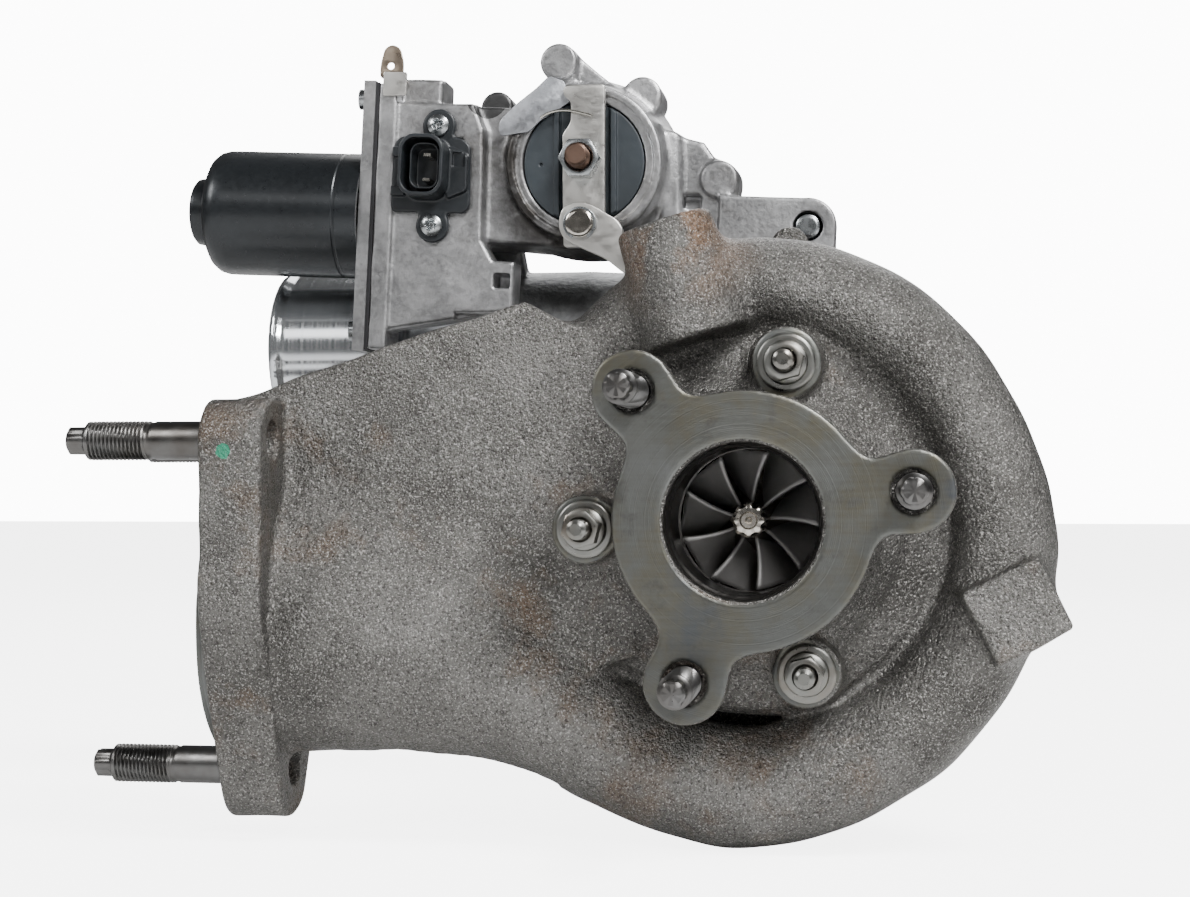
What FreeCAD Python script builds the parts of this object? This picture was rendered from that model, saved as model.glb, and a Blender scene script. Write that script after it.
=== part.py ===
import FreeCAD, Part
import math
import os
from FreeCAD import Matrix, Placement, Rotation, Vector

# Electrically controlled variable-nozzle turbocharger. Millimetres, +Y along the shaft, +Z up.
# Origin: centre of the turbine outlet flange face, with the flange facing -Y.

# ---- driving dimensions -------------------------------------------------
# turbine outlet flange and its studs
outlet_plate = 10.0
outlet_disc_r = 37.5
outlet_lobe_r = 12.0
outlet_stud_pcd = 97.6
outlet_stud_angles = (10.2, 130.2, 250.2)
outlet_bore_r = 22.3
contour_bore_r = 21.3
blend_r = 20.0
m10_r = 5.0
outlet_stud_out = 32.0

# turbine volute: (angle, centre radius, tube radius) round the shaft
scroll_y = 40.0
scroll_wall = 4.0
scroll_law = (
    (-126, 80.5, 19.0), (-108, 80.3, 18.4), (-91, 80.5, 18.2), (-66, 77.5, 17.4),
    (-43, 75.8, 16.8), (-26, 74.8, 16.4), (-8, 74.7, 16.2), (6, 72.6, 15.9),
    (30, 70.0, 15.4), (59, 71.0, 14.8), (91, 71.3, 14.0), (112, 70.4, 13.2),
    (133, 68.5, 12.5), (160, 64.5, 10.5), (185, 61.5, 8.5), (205, 59.5, 6.8))
# inlet duct: (x, z, flow angle, half height, half depth)
duct_law = (
    (-146, -31.0, 0, 41.5, 29.0), (-126, -31.0, -3, 41.0, 28.0), (-106.6, -33.6, -10, 37.7, 26.0),
    (-87.2, -43.6, -24, 29.3, 23.5), (-73.2, -50.6, -27, 24.1, 21.2), (-60.8, -57.3, -31, 21.1, 19.8))

# turbine inlet flange and its studs
inlet_face_x = -162.0
inlet_plate = 19.5
inlet_studs = ((15.0, 24.0), (66.0, 24.0), (38.0, -77.0))
inlet_corner_r = (12.5, 13.5, 15.5)
m12_r = 6.0
inlet_stud_out = 45.0

# nozzle cartridge
clamp_angles = (75.8, 182.9, 291.6)
clamp_r = 47.4
m6_r = 3.0
washer_y = 16.0
cartridge_r = 52.0
shroud_plate_y = (44.0, 47.6)
nozzle_plate_y = (56.0, 60.0)
vane_count = 10
vane_first = 21.4
vane_pivot_r = 36.5
vane_rest = 30.0
vane_shaft_r = 2.0
vane_arm = 8.5
ring_y = (60.5, 63.5)
ring_in_r = 43.5
ring_out_r = 51.0
tip_gap = 0.3

# crank and actuator linkage, an exact parallelogram
crank_angle = 111.4
crank_pivot_r = 60.0
crank_inner = 11.0
lever_arm = 21.3
shaft_x = -58.5
shaft_z = 117.1
actuator_tilt = 2.7
lever_y = (79.2, 82.2)
link_y = (75.8, 78.8)
crank_arm_y = (71.4, 74.5)
actuator_y = 4.2

# rear joint, bearing housing and rotor
joint_y = 66.0
flange_t = 4.5
flange_r = 66.0
joint_bolt_r = 59.5
joint_bolt_first = 21.4
journal_r = 4.0
bearing_out_r = 7.0
running_gap = 0.03
wheel_tip_r = 26.0
wheel_exit_r = 21.0
wheel_front_y = 34.0
wheel_back_y = 57.5

# compressor
comp_joint_y = 104.0
backplate_y = (110.0, 119.4)
backplate_r = 54.0
comp_wheel_r = 28.5
comp_eye_r = 20.0
diffuser_y = (119.6, 123.4)
comp_scroll_y = 131.0
comp_tube_r = 27.5
comp_tube_z = 58.5
comp_tube_x = -173.0
comp_inlet_y = 178.0

# actuator, in its own frame: u to the right and w up from the output shaft
motor_y = 95.0
motor_w = -18.0
motor_r = 21.3
case_front_y = 79.0
cover_screw_spots = ((83, 20), (117, 20), (118.5, -26.5), (84, -58))
arm_spot = (14.85, 95.2)
foot_spot = (-95.35, 99.9)

os.makedirs("parts", exist_ok=True)


# ---- helpers ------------------------------------------------------------
def save(name, shape):
    shape.exportStep("parts/" + name + ".step")


def group(solids):
    return Part.makeCompound(list(solids))


def fuse(first, *others):
    shape = first.fuse(list(others))
    return shape.removeSplitter()


def y_cyl(r, y0, y1, x=0.0, z=0.0):
    return Part.makeCylinder(r, y1 - y0, Vector(x, y0, z), Vector(0, 1, 0))


def y_tube(r_out, r_in, y0, y1, x=0.0, z=0.0):
    return y_cyl(r_out, y0, y1, x, z).cut(y_cyl(r_in, y0 - 1, y1 + 1, x, z))


def x_cyl(r, x0, x1, y, z):
    return Part.makeCylinder(r, x1 - x0, Vector(x0, y, z), Vector(1, 0, 0))


def block(x0, x1, y0, y1, z0, z1):
    return Part.makeBox(x1 - x0, y1 - y0, z1 - z0, Vector(x0, y0, z0))


def plate_y(points, y0, y1):
    corners = [Vector(x, y0, z) for x, z in points]
    wire = Part.makePolygon(corners + corners[:1])
    return Part.Face(wire).extrude(Vector(0, y1 - y0, 0))


def plate_x(points, x0, x1):
    corners = [Vector(x0, y, z) for y, z in points]
    wire = Part.makePolygon(corners + corners[:1])
    return Part.Face(wire).extrude(Vector(x1 - x0, 0, 0))


def turned(points):
    """Solid of revolution round the shaft from (radius, y) points."""
    corners = [Vector(r, y, 0) for r, y in points]
    wire = Part.makePolygon(corners + corners[:1])
    return Part.Face(wire).revolve(Vector(0, 0, 0), Vector(0, 1, 0), 360)


def polar(r, angle):
    a = math.radians(angle)
    return r * math.cos(a), r * math.sin(a)


def about_y(shape, angle, x=0.0, z=0.0):
    """Turn anticlockwise as seen from the turbine outlet."""
    copy = shape.copy()
    copy.rotate(Vector(x, 0, z), Vector(0, 1, 0), -angle)
    return copy


def hexagon(across, y0, y1, x, z, turn=0.0):
    r = across / math.sqrt(3)
    points = [(x + polar(r, turn + 60 * k)[0], z + polar(r, turn + 60 * k)[1]) for k in range(6)]
    return plate_y(points, y0, y1)


def bar_y(a, b, half, y0, y1):
    """Plate with round ends between two points of the XZ plane."""
    length = math.hypot(b[0] - a[0], b[1] - a[1])
    nx = -(b[1] - a[1]) / length * half
    nz = (b[0] - a[0]) / length * half
    sides = [(a[0] + nx, a[1] + nz), (b[0] + nx, b[1] + nz), (b[0] - nx, b[1] - nz), (a[0] - nx, a[1] - nz)]
    return fuse(plate_y(sides, y0, y1), y_cyl(half, y0, y1, a[0], a[1]), y_cyl(half, y0, y1, b[0], b[1]))


def oval(centre, flow, half_up, half_y):
    """Closed smooth section across a duct that runs in the XZ plane."""
    up = Vector(-math.sin(math.radians(flow)), 0, math.cos(math.radians(flow)))
    points = []
    for k in range(16):
        a = 2 * math.pi * k / 16
        points.append(centre + up * (half_up * math.cos(a)) + Vector(0, half_y * math.sin(a), 0))
    curve = Part.BSplineCurve()
    curve.interpolate(Points=points, PeriodicFlag=True)
    return Part.Wire(curve.toShape())


def frame_section(angle, r0, r1, y0, y1):
    corners = [Vector(polar(r, angle)[0], y, polar(r, angle)[1]) for r, y in ((r0, y0), (r1, y0), (r1, y1), (r0, y1))]
    return Part.makePolygon(corners + corners[:1])


def loft(wires, ruled=False):
    return Part.makeLoft(wires, True, ruled)


# ---- turbine housing ----------------------------------------------------
def outlet_outline(y0, y1):
    shape = y_cyl(outlet_disc_r, y0, y1)
    d = outlet_stud_pcd / 2
    ob = outlet_disc_r + blend_r
    lb = outlet_lobe_r + blend_r
    swing = math.degrees(math.acos((ob * ob + d * d - lb * lb) / (2 * ob * d)))
    for angle in outlet_stud_angles:
        lx, lz = polar(d, angle)
        pieces = [y_cyl(outlet_lobe_r, y0, y1, lx, lz)]
        for side in (-1, 1):
            bx, bz = polar(ob, angle + side * swing)
            t1 = polar(outlet_disc_r, angle + side * swing)
            t2 = (lx + (bx - lx) * outlet_lobe_r / lb, lz + (bz - lz) * outlet_lobe_r / lb)
            filler = plate_y([(0, 0), t1, t2, (lx, lz)], y0, y1)
            pieces.append(filler.cut(y_cyl(blend_r, y0 - 1, y1 + 1, bx, bz)))
        shape = shape.fuse(pieces)
    return shape.removeSplitter()


def scroll_loft(shrink):
    """Inlet duct and volute as one swept tube."""
    wires = []
    for x, z, flow, half_up, half_y in duct_law:
        wires.append(oval(Vector(x, scroll_y, z), flow, half_up - shrink, half_y - shrink))
    for angle, centre, tube in scroll_law:
        x, z = polar(centre, angle)
        wires.append(oval(Vector(x, scroll_y, z), angle + 90, tube - shrink, tube - shrink))
    return loft(wires)


def scroll_web(r0, y0, y1):
    wires = [frame_section(angle, r0, centre, y0, y1) for angle, centre, tube in scroll_law]
    return loft(wires, True)


def inlet_flange():
    plate_end = inlet_face_x + inlet_plate
    shape = x_cyl(40.0, inlet_face_x, plate_end, 42, -18)
    for (y, z), r in zip(inlet_studs, inlet_corner_r):
        shape = shape.fuse(x_cyl(r, inlet_face_x, plate_end, y, z))
    left = [(9.0, 35.0), (15, 36.5), (66, 37.5), (74.0, 34.0), (79.3, 22.0), (80.5, -4), (53.0, -81.0), (38, -92.4),
            (23.0, -81.0), (6.0, -36.0), (2.6, -12), (2.5, 24)]
    return fuse(shape, plate_x(left, inlet_face_x, plate_end))


def rear_flange(y0, y1):
    crank = polar(crank_pivot_r, crank_angle)
    return fuse(y_cyl(flange_r, y0, y1), y_cyl(15.0, y0, y1, crank[0], crank[1]))


def top_boss():
    lean = math.radians(16.4)
    axis = Vector(-math.sin(lean), 0, math.cos(lean))
    foot = Vector(-15.5, 29.5, 54)
    shape = Part.makeCylinder(14.6, 36.5, foot, axis)
    return shape


def side_boss():
    shape = block(-14, 10.5, -11, 11, -12, 12)
    shape.translate(Vector(0, 30, 0))
    shape.rotate(Vector(0, 0, 0), Vector(0, 1, 0), -27.6)
    shape.translate(Vector(78.0, 0, -25.5))
    return shape


def turbine_housing():
    core = turned([(0, 4), (34, 4), (34.5, 14), (40, 22), (47, 29), (56, 33), (58.5, 36), (58.5, 62), (0, 62)])
    web_x = [(-156, 37.5), (-143, 42.5), (-101, 56.5), (-76, 64), (-67, 66), (-52, 62), (-40, 30), (-34, -40),
             (-58, -48), (-100, -20), (-130, -10), (-156, -10)]
    body = fuse(
        outlet_outline(0, outlet_plate), core, scroll_loft(0.0), scroll_web(48, 27.0, 60.0),
        inlet_flange(), plate_y(web_x, 27, 37), rear_flange(56, joint_y), top_boss(), side_boss())
    for angle in clamp_angles:
        x, z = polar(clamp_r, angle)
        body = body.fuse(y_cyl(10.5, washer_y, 34, x, z))
    lug = bar_y((11.3, 78.0), (11.3, 84.0), 6.0, 46, 56)
    body = body.fuse(lug)
    # hollow
    hollow = [scroll_loft(scroll_wall), scroll_web(50, 48.2, 55.4)]
    mouth = oval(Vector(inlet_face_x - 1, scroll_y, -31), 0, 35.5, 23.0)
    hollow.append(loft([mouth, oval(Vector(-144, scroll_y, -31), 0, 37.4, 24.9)]))
    hollow.append(y_cyl(outlet_bore_r, -1, 8))
    hollow.append(y_cyl(contour_bore_r, 0, 50))
    hollow.append(y_cyl(25.1, 30, 60))
    hollow.append(y_cyl(cartridge_r + 0.1, shroud_plate_y[0], joint_y + 1))
    crank = polar(crank_pivot_r, crank_angle)
    hollow.append(y_cyl(10.6, ring_y[0] - 0.5, joint_y + 1, crank[0], crank[1]))
    for angle in clamp_angles:
        x, z = polar(clamp_r, angle)
        hollow.append(y_cyl(m6_r + 0.15, 0, 50, x, z))
    for angle in outlet_stud_angles:
        x, z = polar(outlet_stud_pcd / 2, angle)
        hollow.append(y_cyl(m10_r - 0.1, -1, outlet_plate + 1, x, z))
        hollow.append(y_cyl(m10_r + 1.4, -1, 1.5, x, z))
    for y, z in inlet_studs:
        hollow.append(x_cyl(m12_r - 0.1, inlet_face_x - 1, inlet_face_x + inlet_plate + 1, y, z))
        hollow.append(x_cyl(m12_r + 1.0, inlet_face_x - 1, inlet_face_x + 1.5, y, z))
    for k in range(6):
        x, z = polar(joint_bolt_r, joint_bolt_first + 60 * k)
        hollow.append(y_cyl(m6_r, joint_y - 9, joint_y + 1, x, z))
    return body.cut(hollow).removeSplitter()


def outlet_studs():
    studs = []
    for angle in outlet_stud_angles:
        x, z = polar(outlet_stud_pcd / 2, angle)
        shank = y_cyl(m10_r, -26, 1.2, x, z)
        root = y_cyl(m10_r - 0.1, 1.2, outlet_plate, x, z)
        tip = y_cyl(3.75, -outlet_stud_out, -26, x, z)
        studs.append(fuse(shank, root, tip))
    return group(studs)


def inlet_stud_set():
    studs = []
    for y, z in inlet_studs:
        shank = x_cyl(m12_r, inlet_face_x - 39, inlet_face_x - 1, y, z)
        root = x_cyl(m12_r - 0.1, inlet_face_x + 1.5, inlet_face_x + inlet_plate - 3, y, z)
        relief = x_cyl(m12_r - 0.5, inlet_face_x - 1, inlet_face_x + 1.5, y, z)
        tip = x_cyl(4.5, inlet_face_x - inlet_stud_out, inlet_face_x - 39, y, z)
        studs.append(fuse(shank, relief, root, tip))
    return group(studs)


# ---- nozzle cartridge ---------------------------------------------------
def clamp_studs():
    return group(y_cyl(m6_r, -2.5, nozzle_plate_y[1], *polar(clamp_r, a)) for a in clamp_angles)


def clamp_nuts():
    nuts = []
    for angle in clamp_angles:
        x, z = polar(clamp_r, angle)
        nut = hexagon(10.0, 4.5, washer_y - 3.2, x, z, 15).fuse(y_cyl(6.6, washer_y - 3.2, washer_y - 1.6, x, z))
        nuts.append(nut.cut(y_cyl(m6_r, 0, 20, x, z)))
    return group(nuts)


def clamp_washers():
    return group(y_tube(8.6, 3.15, washer_y - 1.6, washer_y, *polar(clamp_r, a)) for a in clamp_angles)


def shroud_plate():
    y0, y1 = shroud_plate_y
    shape = turned([(21.35, 36), (25.0, 36), (25.0, y0), (cartridge_r, y0), (cartridge_r, y1), (26.6, y1),
                    (25.2, 45.6), (23.4, 42.4), (22.0, 39.4)])
    shape = shape.cut([y_cyl(m6_r + 0.1, y0 - 1, y1 + 1, *polar(clamp_r, a)) for a in clamp_angles])
    return shape.cut(y_tube(26, 23.8, 38.2, 39.9))


def nozzle_spacers():
    y0, y1 = shroud_plate_y[1], nozzle_plate_y[0]
    return group(y_tube(4.0, m6_r + 0.1, y0, y1, *polar(clamp_r, a)) for a in clamp_angles)


def guide_spots():
    return [polar(41.5, vane_first + 18 + 36 * k) for k in (0, 3, 7)]


def nozzle_ring():
    y0, y1 = nozzle_plate_y
    shape = y_tube(cartridge_r, 27.6, y0, y1)
    holes = [y_cyl(m6_r, y0 - 1, y1 + 1, *polar(clamp_r, a)) for a in clamp_angles]
    holes += [y_cyl(vane_shaft_r + 0.04, y0 - 1, y1 + 1, *polar(vane_pivot_r, vane_first + 36 * k)) for k in range(vane_count)]
    holes += [y_cyl(1.5, y0 + 1, y1 + 1, *spot) for spot in guide_spots()]
    return shape.cut(holes)


def guide_pins():
    pins = []
    for x, z in guide_spots():
        pins.append(fuse(y_cyl(1.5, nozzle_plate_y[0] + 1, 64.6, x, z), y_cyl(2.4, 63.8, 64.6, x, z)))
    return group(pins)


def vane(angle):
    """Guide vane with its pivot shaft and the arm welded on behind the nozzle ring."""
    px, pz = polar(vane_pivot_r, angle)
    lean = angle + 90 + vane_rest
    outline = []
    for s, t in ((-7.0, 0.0), (-6.3, 0.9), (-3.5, 1.35), (0.0, 1.45), (4.0, 0.95), (8.0, 0.15),
                 (8.0, -0.15), (4.0, -0.75), (0.0, -1.0), (-3.5, -1.0), (-6.3, -0.7)):
        dx, dz = polar(1.0, lean)
        outline.append((px + s * dx - t * dz, pz + s * dz + t * dx))
    foil = plate_y(outline, shroud_plate_y[1] + 0.3, nozzle_plate_y[0] - 0.3)
    shaft = y_cyl(vane_shaft_r, 50, 63.0, px, pz)
    collar = y_cyl(2.6, nozzle_plate_y[0] - 1.2, nozzle_plate_y[0] - 0.2, px, pz)
    tip = polar(vane_pivot_r + vane_arm, angle)
    arm = bar_y((px, pz), tip, 1.4, 60.6, 63.0)
    ends = [y_cyl(3.4, 60.6, 63.0, px, pz), y_cyl(2.4, 60.6, 63.0, tip[0], tip[1])]
    return fuse(foil, shaft, collar, arm, *ends)


def unison_ring():
    shape = y_tube(ring_out_r, ring_in_r, *ring_y)
    cuts = []
    for k in range(vane_count):
        angle = vane_first + 36 * k
        half = 2.4 + tip_gap
        slot = plate_y([(40, -half), (vane_pivot_r + vane_arm, -half), (vane_pivot_r + vane_arm, half), (40, half)],
                       ring_y[0] - 1, ring_y[1] + 1)
        slot = slot.fuse(y_cyl(half, ring_y[0] - 1, ring_y[1] + 1, vane_pivot_r + vane_arm, 0))
        cuts.append(about_y(slot, angle))
    half = 2.0 + tip_gap
    inner = crank_pivot_r - crank_inner
    notch = plate_y([(inner, -half), (56, -half - 3.4), (56, half + 3.4), (inner, half)], ring_y[0] - 1, ring_y[1] + 1)
    notch = notch.fuse(y_cyl(half, ring_y[0] - 1, ring_y[1] + 1, inner, 0))
    cuts.append(about_y(notch, crank_angle))
    return shape.cut(cuts).removeSplitter()


def crank_shaft():
    x, z = polar(crank_pivot_r, crank_angle)
    tip = polar(crank_pivot_r - crank_inner, crank_angle)
    shaft = y_cyl(3.5, 60.6, crank_arm_y[1], x, z)
    arm = bar_y((x, z), tip, 1.7, 60.6, 63.4)
    return fuse(shaft, arm, y_cyl(5.6, 60.6, 63.4, x, z), y_cyl(2.0, 60.6, 63.4, tip[0], tip[1]))


def crank_arm():
    x, z = polar(crank_pivot_r, crank_angle)
    y0, y1 = crank_arm_y
    arm = fuse(bar_y((x, z), (x, z - lever_arm), 5.0, y0, y1), y_cyl(7.0, y0, y1, x, z))
    pin = y_cyl(3.0, y1, link_y[1] + 0.8, x, z - lever_arm)
    return fuse(arm.cut(y_cyl(3.5, 60, 80, x, z)), pin)


# ---- rotor --------------------------------------------------------------
def blade(twist, y0, y1, r_out, thick, turn):
    """Thin blade whose angle round the shaft changes along it."""
    wires = []
    steps = len(twist) - 1
    for k, angle in enumerate(twist):
        y = y0 + (y1 - y0) * k / steps
        corners = []
        for r, t in ((2.0, -thick), (r_out, -thick * 0.55), (r_out, thick * 0.55), (2.0, thick)):
            px, pz = polar(1.0, angle + turn)
            corners.append(Vector(r * px - t * pz, y, r * pz + t * px))
        wires.append(Part.makePolygon(corners + corners[:1]))
    return loft(wires, True)


def turbine_wheel():
    hub = turned([(0, 25), (4.2, 25), (5.4, 26), (5.4, 29.6), (5.0, 31), (5.0, 33), (6.0, 37),
                  (8.2, 44), (12.5, 50.5), (19, 54.6),
                  (25.2, 56.2), (25.2, 57.5), (12, 57.9), (7.7, 59.2), (7.7, 61.1), (6.4, 61.1), (6.4, 62.9),
                  (7.7, 62.9), (7.7, 67.6), (journal_r, 68.4), (journal_r, 109.2), (3.0, 109.6), (3.0, 152), (0, 152)])
    passage = turned([(3, 36.5), (wheel_exit_r, 33.4), (wheel_exit_r, 38.6), (21.9, 42.2), (24.2, 46.3), (wheel_tip_r, 47.9),
                      (wheel_tip_r, 56.6), (3, 56.6)])
    twist = [-46, -36, -26.5, -18.5, -12, -7, -3.5, -1, 0]
    blades = []
    for k in range(9):
        blades.append(blade(twist, 33.0, 57.0, 30, 0.75, 40 * k).common(passage))
    return hub.fuse(blades)


def comp_wheel():
    hub = turned([(3.02, 119.8), (27.6, 119.8), (comp_wheel_r, 120.0), (comp_wheel_r, 120.5), (20, 122.4), (13, 126.5),
                  (8.8, 133), (7.0, 141), (6.4, 146.5), (3.02, 146.5)])
    passage = turned([(4, 120.2), (comp_wheel_r, 120.2), (comp_wheel_r, 123.0), (24.3, 124.9), (21.4, 129.0), (comp_eye_r, 134.0),
                      (comp_eye_r, 144.6), (4, 145.4)])
    twist = [0, 2, 5, 9.5, 15.5, 23, 32, 42.5, 55]
    blades = []
    for k in range(6):
        blades.append(blade(twist, 119.9, 145.6, 32, 0.6, 60 * k).common(passage))
        short = blade(twist[:6], 119.9, 136.0, 32, 0.6, 60 * k + 30)
        blades.append(short.common(passage))
    return hub.fuse(blades).cut(y_cyl(3.02, 110, 150))


def thrust_collar():
    shape = turned([(4.02, 103.2), (9, 103.2), (9, 104.8), (6, 104.8), (6, 107.6), (9, 107.6), (9, 109.2),
                    (6.6, 109.2), (6.6, 113.8), (5.3, 113.8), (5.3, 115.4), (6.6, 115.4), (6.6, 119.8),
                    (3.02, 119.8), (3.02, 109.65), (4.02, 109.25)])
    return shape


def shaft_nut():
    return fuse(hexagon(9.0, 147.2, 151, 0, 0), y_cyl(5.0, 146.5, 147.4)).cut(y_cyl(3.0, 140, 160))


# ---- bearing housing ----------------------------------------------------
def bearing_housing():
    x, z = polar(crank_pivot_r, crank_angle)
    core = turned([(0, 60.8), (20, 60.8), (20, joint_y), (26, joint_y), (26, 80), (31, 84), (31, 98), (40, comp_joint_y),
                   (40, backplate_y[0]), (0, backplate_y[0])])
    oil_in = Part.makeCylinder(11, 46, Vector(0, 90, 0), Vector(0, 0, 1))
    oil_out = block(-15, 15, 79, 101, -46, -10)
    drain_flange = block(-24, 24, 78, 101, -47, -40)
    water_left = Part.makeCylinder(9.5, 46, Vector(0, 89.5, 0), Vector(-1, 0, 0))
    water_right = Part.makeCylinder(9.5, 46, Vector(0, 89.5, 0), Vector(1, 0, 0))
    body = fuse(core, rear_flange(joint_y, joint_y + flange_t), y_cyl(52, comp_joint_y, backplate_y[0]),
                oil_in, oil_out, drain_flange, water_left, water_right,
                y_cyl(8.5, joint_y, 71.0, x, z))
    cuts = [y_cyl(8.1, 60, 69.0), y_cyl(bearing_out_r, 60, 103), y_cyl(17.1, 103.0, 112), y_cyl(19.5, 107.5, 112)]
    cuts.append(y_cyl(5.5, 60, 90, x, z))
    # oil gallery, drain, water jacket ports and drain flange holes
    cuts.append(Part.makeCylinder(5.0, 12, Vector(0, 90, 35), Vector(0, 0, 1)))
    cuts.append(Part.makeCylinder(1.6, 47, Vector(0, 90, 0), Vector(0, 0, 1)))
    cuts.append(Part.makeCylinder(8.0, 36, Vector(0, 90, -50), Vector(0, 0, 1)))
    cuts.append(Part.makeCylinder(4.0, 12, Vector(0, 90, -16), Vector(0, 0, 1)))
    for side in (-1, 1):
        cuts.append(Part.makeCylinder(5.5, 20, Vector(side * 27, 89.5, 0), Vector(side, 0, 0)))
        cuts.append(Part.makeCylinder(3.3, 12, Vector(side * 18.5, 89.5, -50), Vector(0, 0, 1)))
    for k in range(6):
        bx, bz = polar(joint_bolt_r, joint_bolt_first + 60 * k)
        cuts.append(y_cyl(m6_r + 0.2, joint_y - 1, joint_y + 10, bx, bz))
    return body.cut(cuts).removeSplitter()


def joint_bolts():
    bolts = []
    for k in range(6):
        x, z = polar(joint_bolt_r, joint_bolt_first + 60 * k)
        top = joint_y + flange_t
        head = fuse(hexagon(9.0, top, top + 5.0, x, z), y_cyl(6.2, top, top + 1.2, x, z))
        bolts.append(fuse(y_cyl(m6_r, joint_y - 8, top + 1, x, z), head))
    return group(bolts)


def heat_shield():
    return turned([(8.6, 59.3), (27.3, 59.3), (27.3, 65.8), (26.4, 65.8), (26.4, 60.3), (8.6, 60.3)])


def bushes():
    """The two floating shaft bearings and the crank's bush."""
    shapes = []
    for y0 in (72.0, 93.5):
        shape = y_tube(bearing_out_r - running_gap, journal_r + running_gap, y0, y0 + 9)
        for k in range(4):
            x, z = polar(1.0, 45 + 90 * k)
            shape = shape.cut(Part.makeCylinder(1.2, 12, Vector(0, y0 + 4.5, 0), Vector(x, 0, z)))
        shapes.append(shape)
    shapes.append(y_tube(5.5, 3.55, 64.0, 71.0, *polar(crank_pivot_r, crank_angle)))
    return group(shapes)


def thrust_bearing():
    shape = y_tube(17.0, 6.3, 105.0, 107.4)
    return shape.cut(block(-6.3, 6.3, 104, 108, -20, 0))


def piston_rings():
    """Seal rings: one round the shroud plate's sleeve and one at each end of the shaft."""
    return group([y_tube(25.08, 24.0, 38.4, 39.7), y_tube(8.05, 6.7, 61.4, 62.6), y_tube(6.85, 5.6, 114.0, 115.2)])


def comp_backplate():
    return y_tube(backplate_r, 6.9, *backplate_y)


# ---- compressor housing -------------------------------------------------
def comp_loft(shrink):
    """Compressor volute, growing from its tongue round to the outlet duct."""
    wires = []
    for k in range(11):
        angle = 150 + 30 * k
        tube = 8.5 + 15.5 * k / 10
        x, z = polar(45.5 + 13 * k / 10, angle)
        wires.append(oval(Vector(x, comp_scroll_y, z), angle + 90, tube - shrink, tube - shrink))
    for x, tube in ((-26, 25.0), (-48, 26.4), (-64, 27.2)):
        wires.append(oval(Vector(x, comp_scroll_y, comp_tube_z), 180, tube - shrink, tube - shrink))
    return loft(wires)


def comp_bolt_spots():
    return [polar(59.3, a + d) for a in (90, 210, 330) for d in (-14, 14)]


def comp_housing():
    end = comp_inlet_y
    cover = turned([(0, 104), (64.6, 104), (64.6, 118), (52, 130), (36, 136), (31, 148), (30, 150), (30, end), (0, end)])
    body = fuse(
        comp_loft(0.0), cover, y_cyl(32, end - 6, end - 2),
        x_cyl(comp_tube_r, comp_tube_x, -62, comp_scroll_y, comp_tube_z),
        x_cyl(comp_tube_r + 0.9, comp_tube_x + 1, comp_tube_x + 4, comp_scroll_y, comp_tube_z))
    right_lug = bar_y(arm_spot, (8.0, 70.0), 8.5, 92 + actuator_y, 114)
    left_lug = bar_y(foot_spot, (-90.0, 72.0), 8.0, 114 + actuator_y, 128)
    right_lug = right_lug.cut(y_cyl(64.6, 90, comp_joint_y))
    body = body.fuse([right_lug, left_lug])
    r = comp_tube_r - 3.0
    socket = turned([(0, 103), (backplate_r + 0.1, 103), (backplate_r + 0.1, 119.5), (47, 119.5), (47, 123.4),
                     (comp_wheel_r + 0.4, 123.4), (24.7, 125.3), (21.8, 129.2), (comp_eye_r + 0.3, 134.2),
                     (comp_eye_r + 0.3, 150), (24.5, 165), (26.5, end + 2), (0, end + 2)])
    hollow = [comp_loft(3.7), socket, x_cyl(r, comp_tube_x - 1, -61, comp_scroll_y, comp_tube_z)]
    hollow.append(y_cyl(4.0, 90, 112, *arm_spot))
    hollow.append(y_cyl(3.0, 110, 130, *foot_spot))
    for x, z in comp_bolt_spots():
        hollow.append(y_cyl(m6_r, 103, 114, x, z))
    for piece in hollow:
        body = body.cut(piece)
    return body


def comp_clamp_plates():
    plates = []
    for a in (90, 210, 330):
        ring = y_tube(64.4, 49.0, 101, comp_joint_y)
        wedge = plate_y([(0, 0), polar(120, a - 22), polar(120, a + 22)], 100, 106)
        plate = ring.common(wedge)
        for d in (-14, 14):
            plate = plate.cut(y_cyl(m6_r + 0.2, 100, 106, *polar(59.3, a + d)))
        plates.append(plate)
    return group(plates)


def comp_bolts():
    bolts = []
    for x, z in comp_bolt_spots():
        bolts.append(fuse(y_cyl(m6_r, 100, 113, x, z), hexagon(8.0, 96.5, 101, x, z)))
    return group(bolts)


# ---- actuator -----------------------------------------------------------
def tilt(shape):
    """From the actuator's own frame, with its origin on the output shaft, to the part's frame."""
    copy = shape.copy()
    copy.rotate(Vector(0, 0, 0), Vector(0, 1, 0), actuator_tilt)
    copy.translate(Vector(shaft_x, actuator_y, shaft_z))
    return copy


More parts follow.
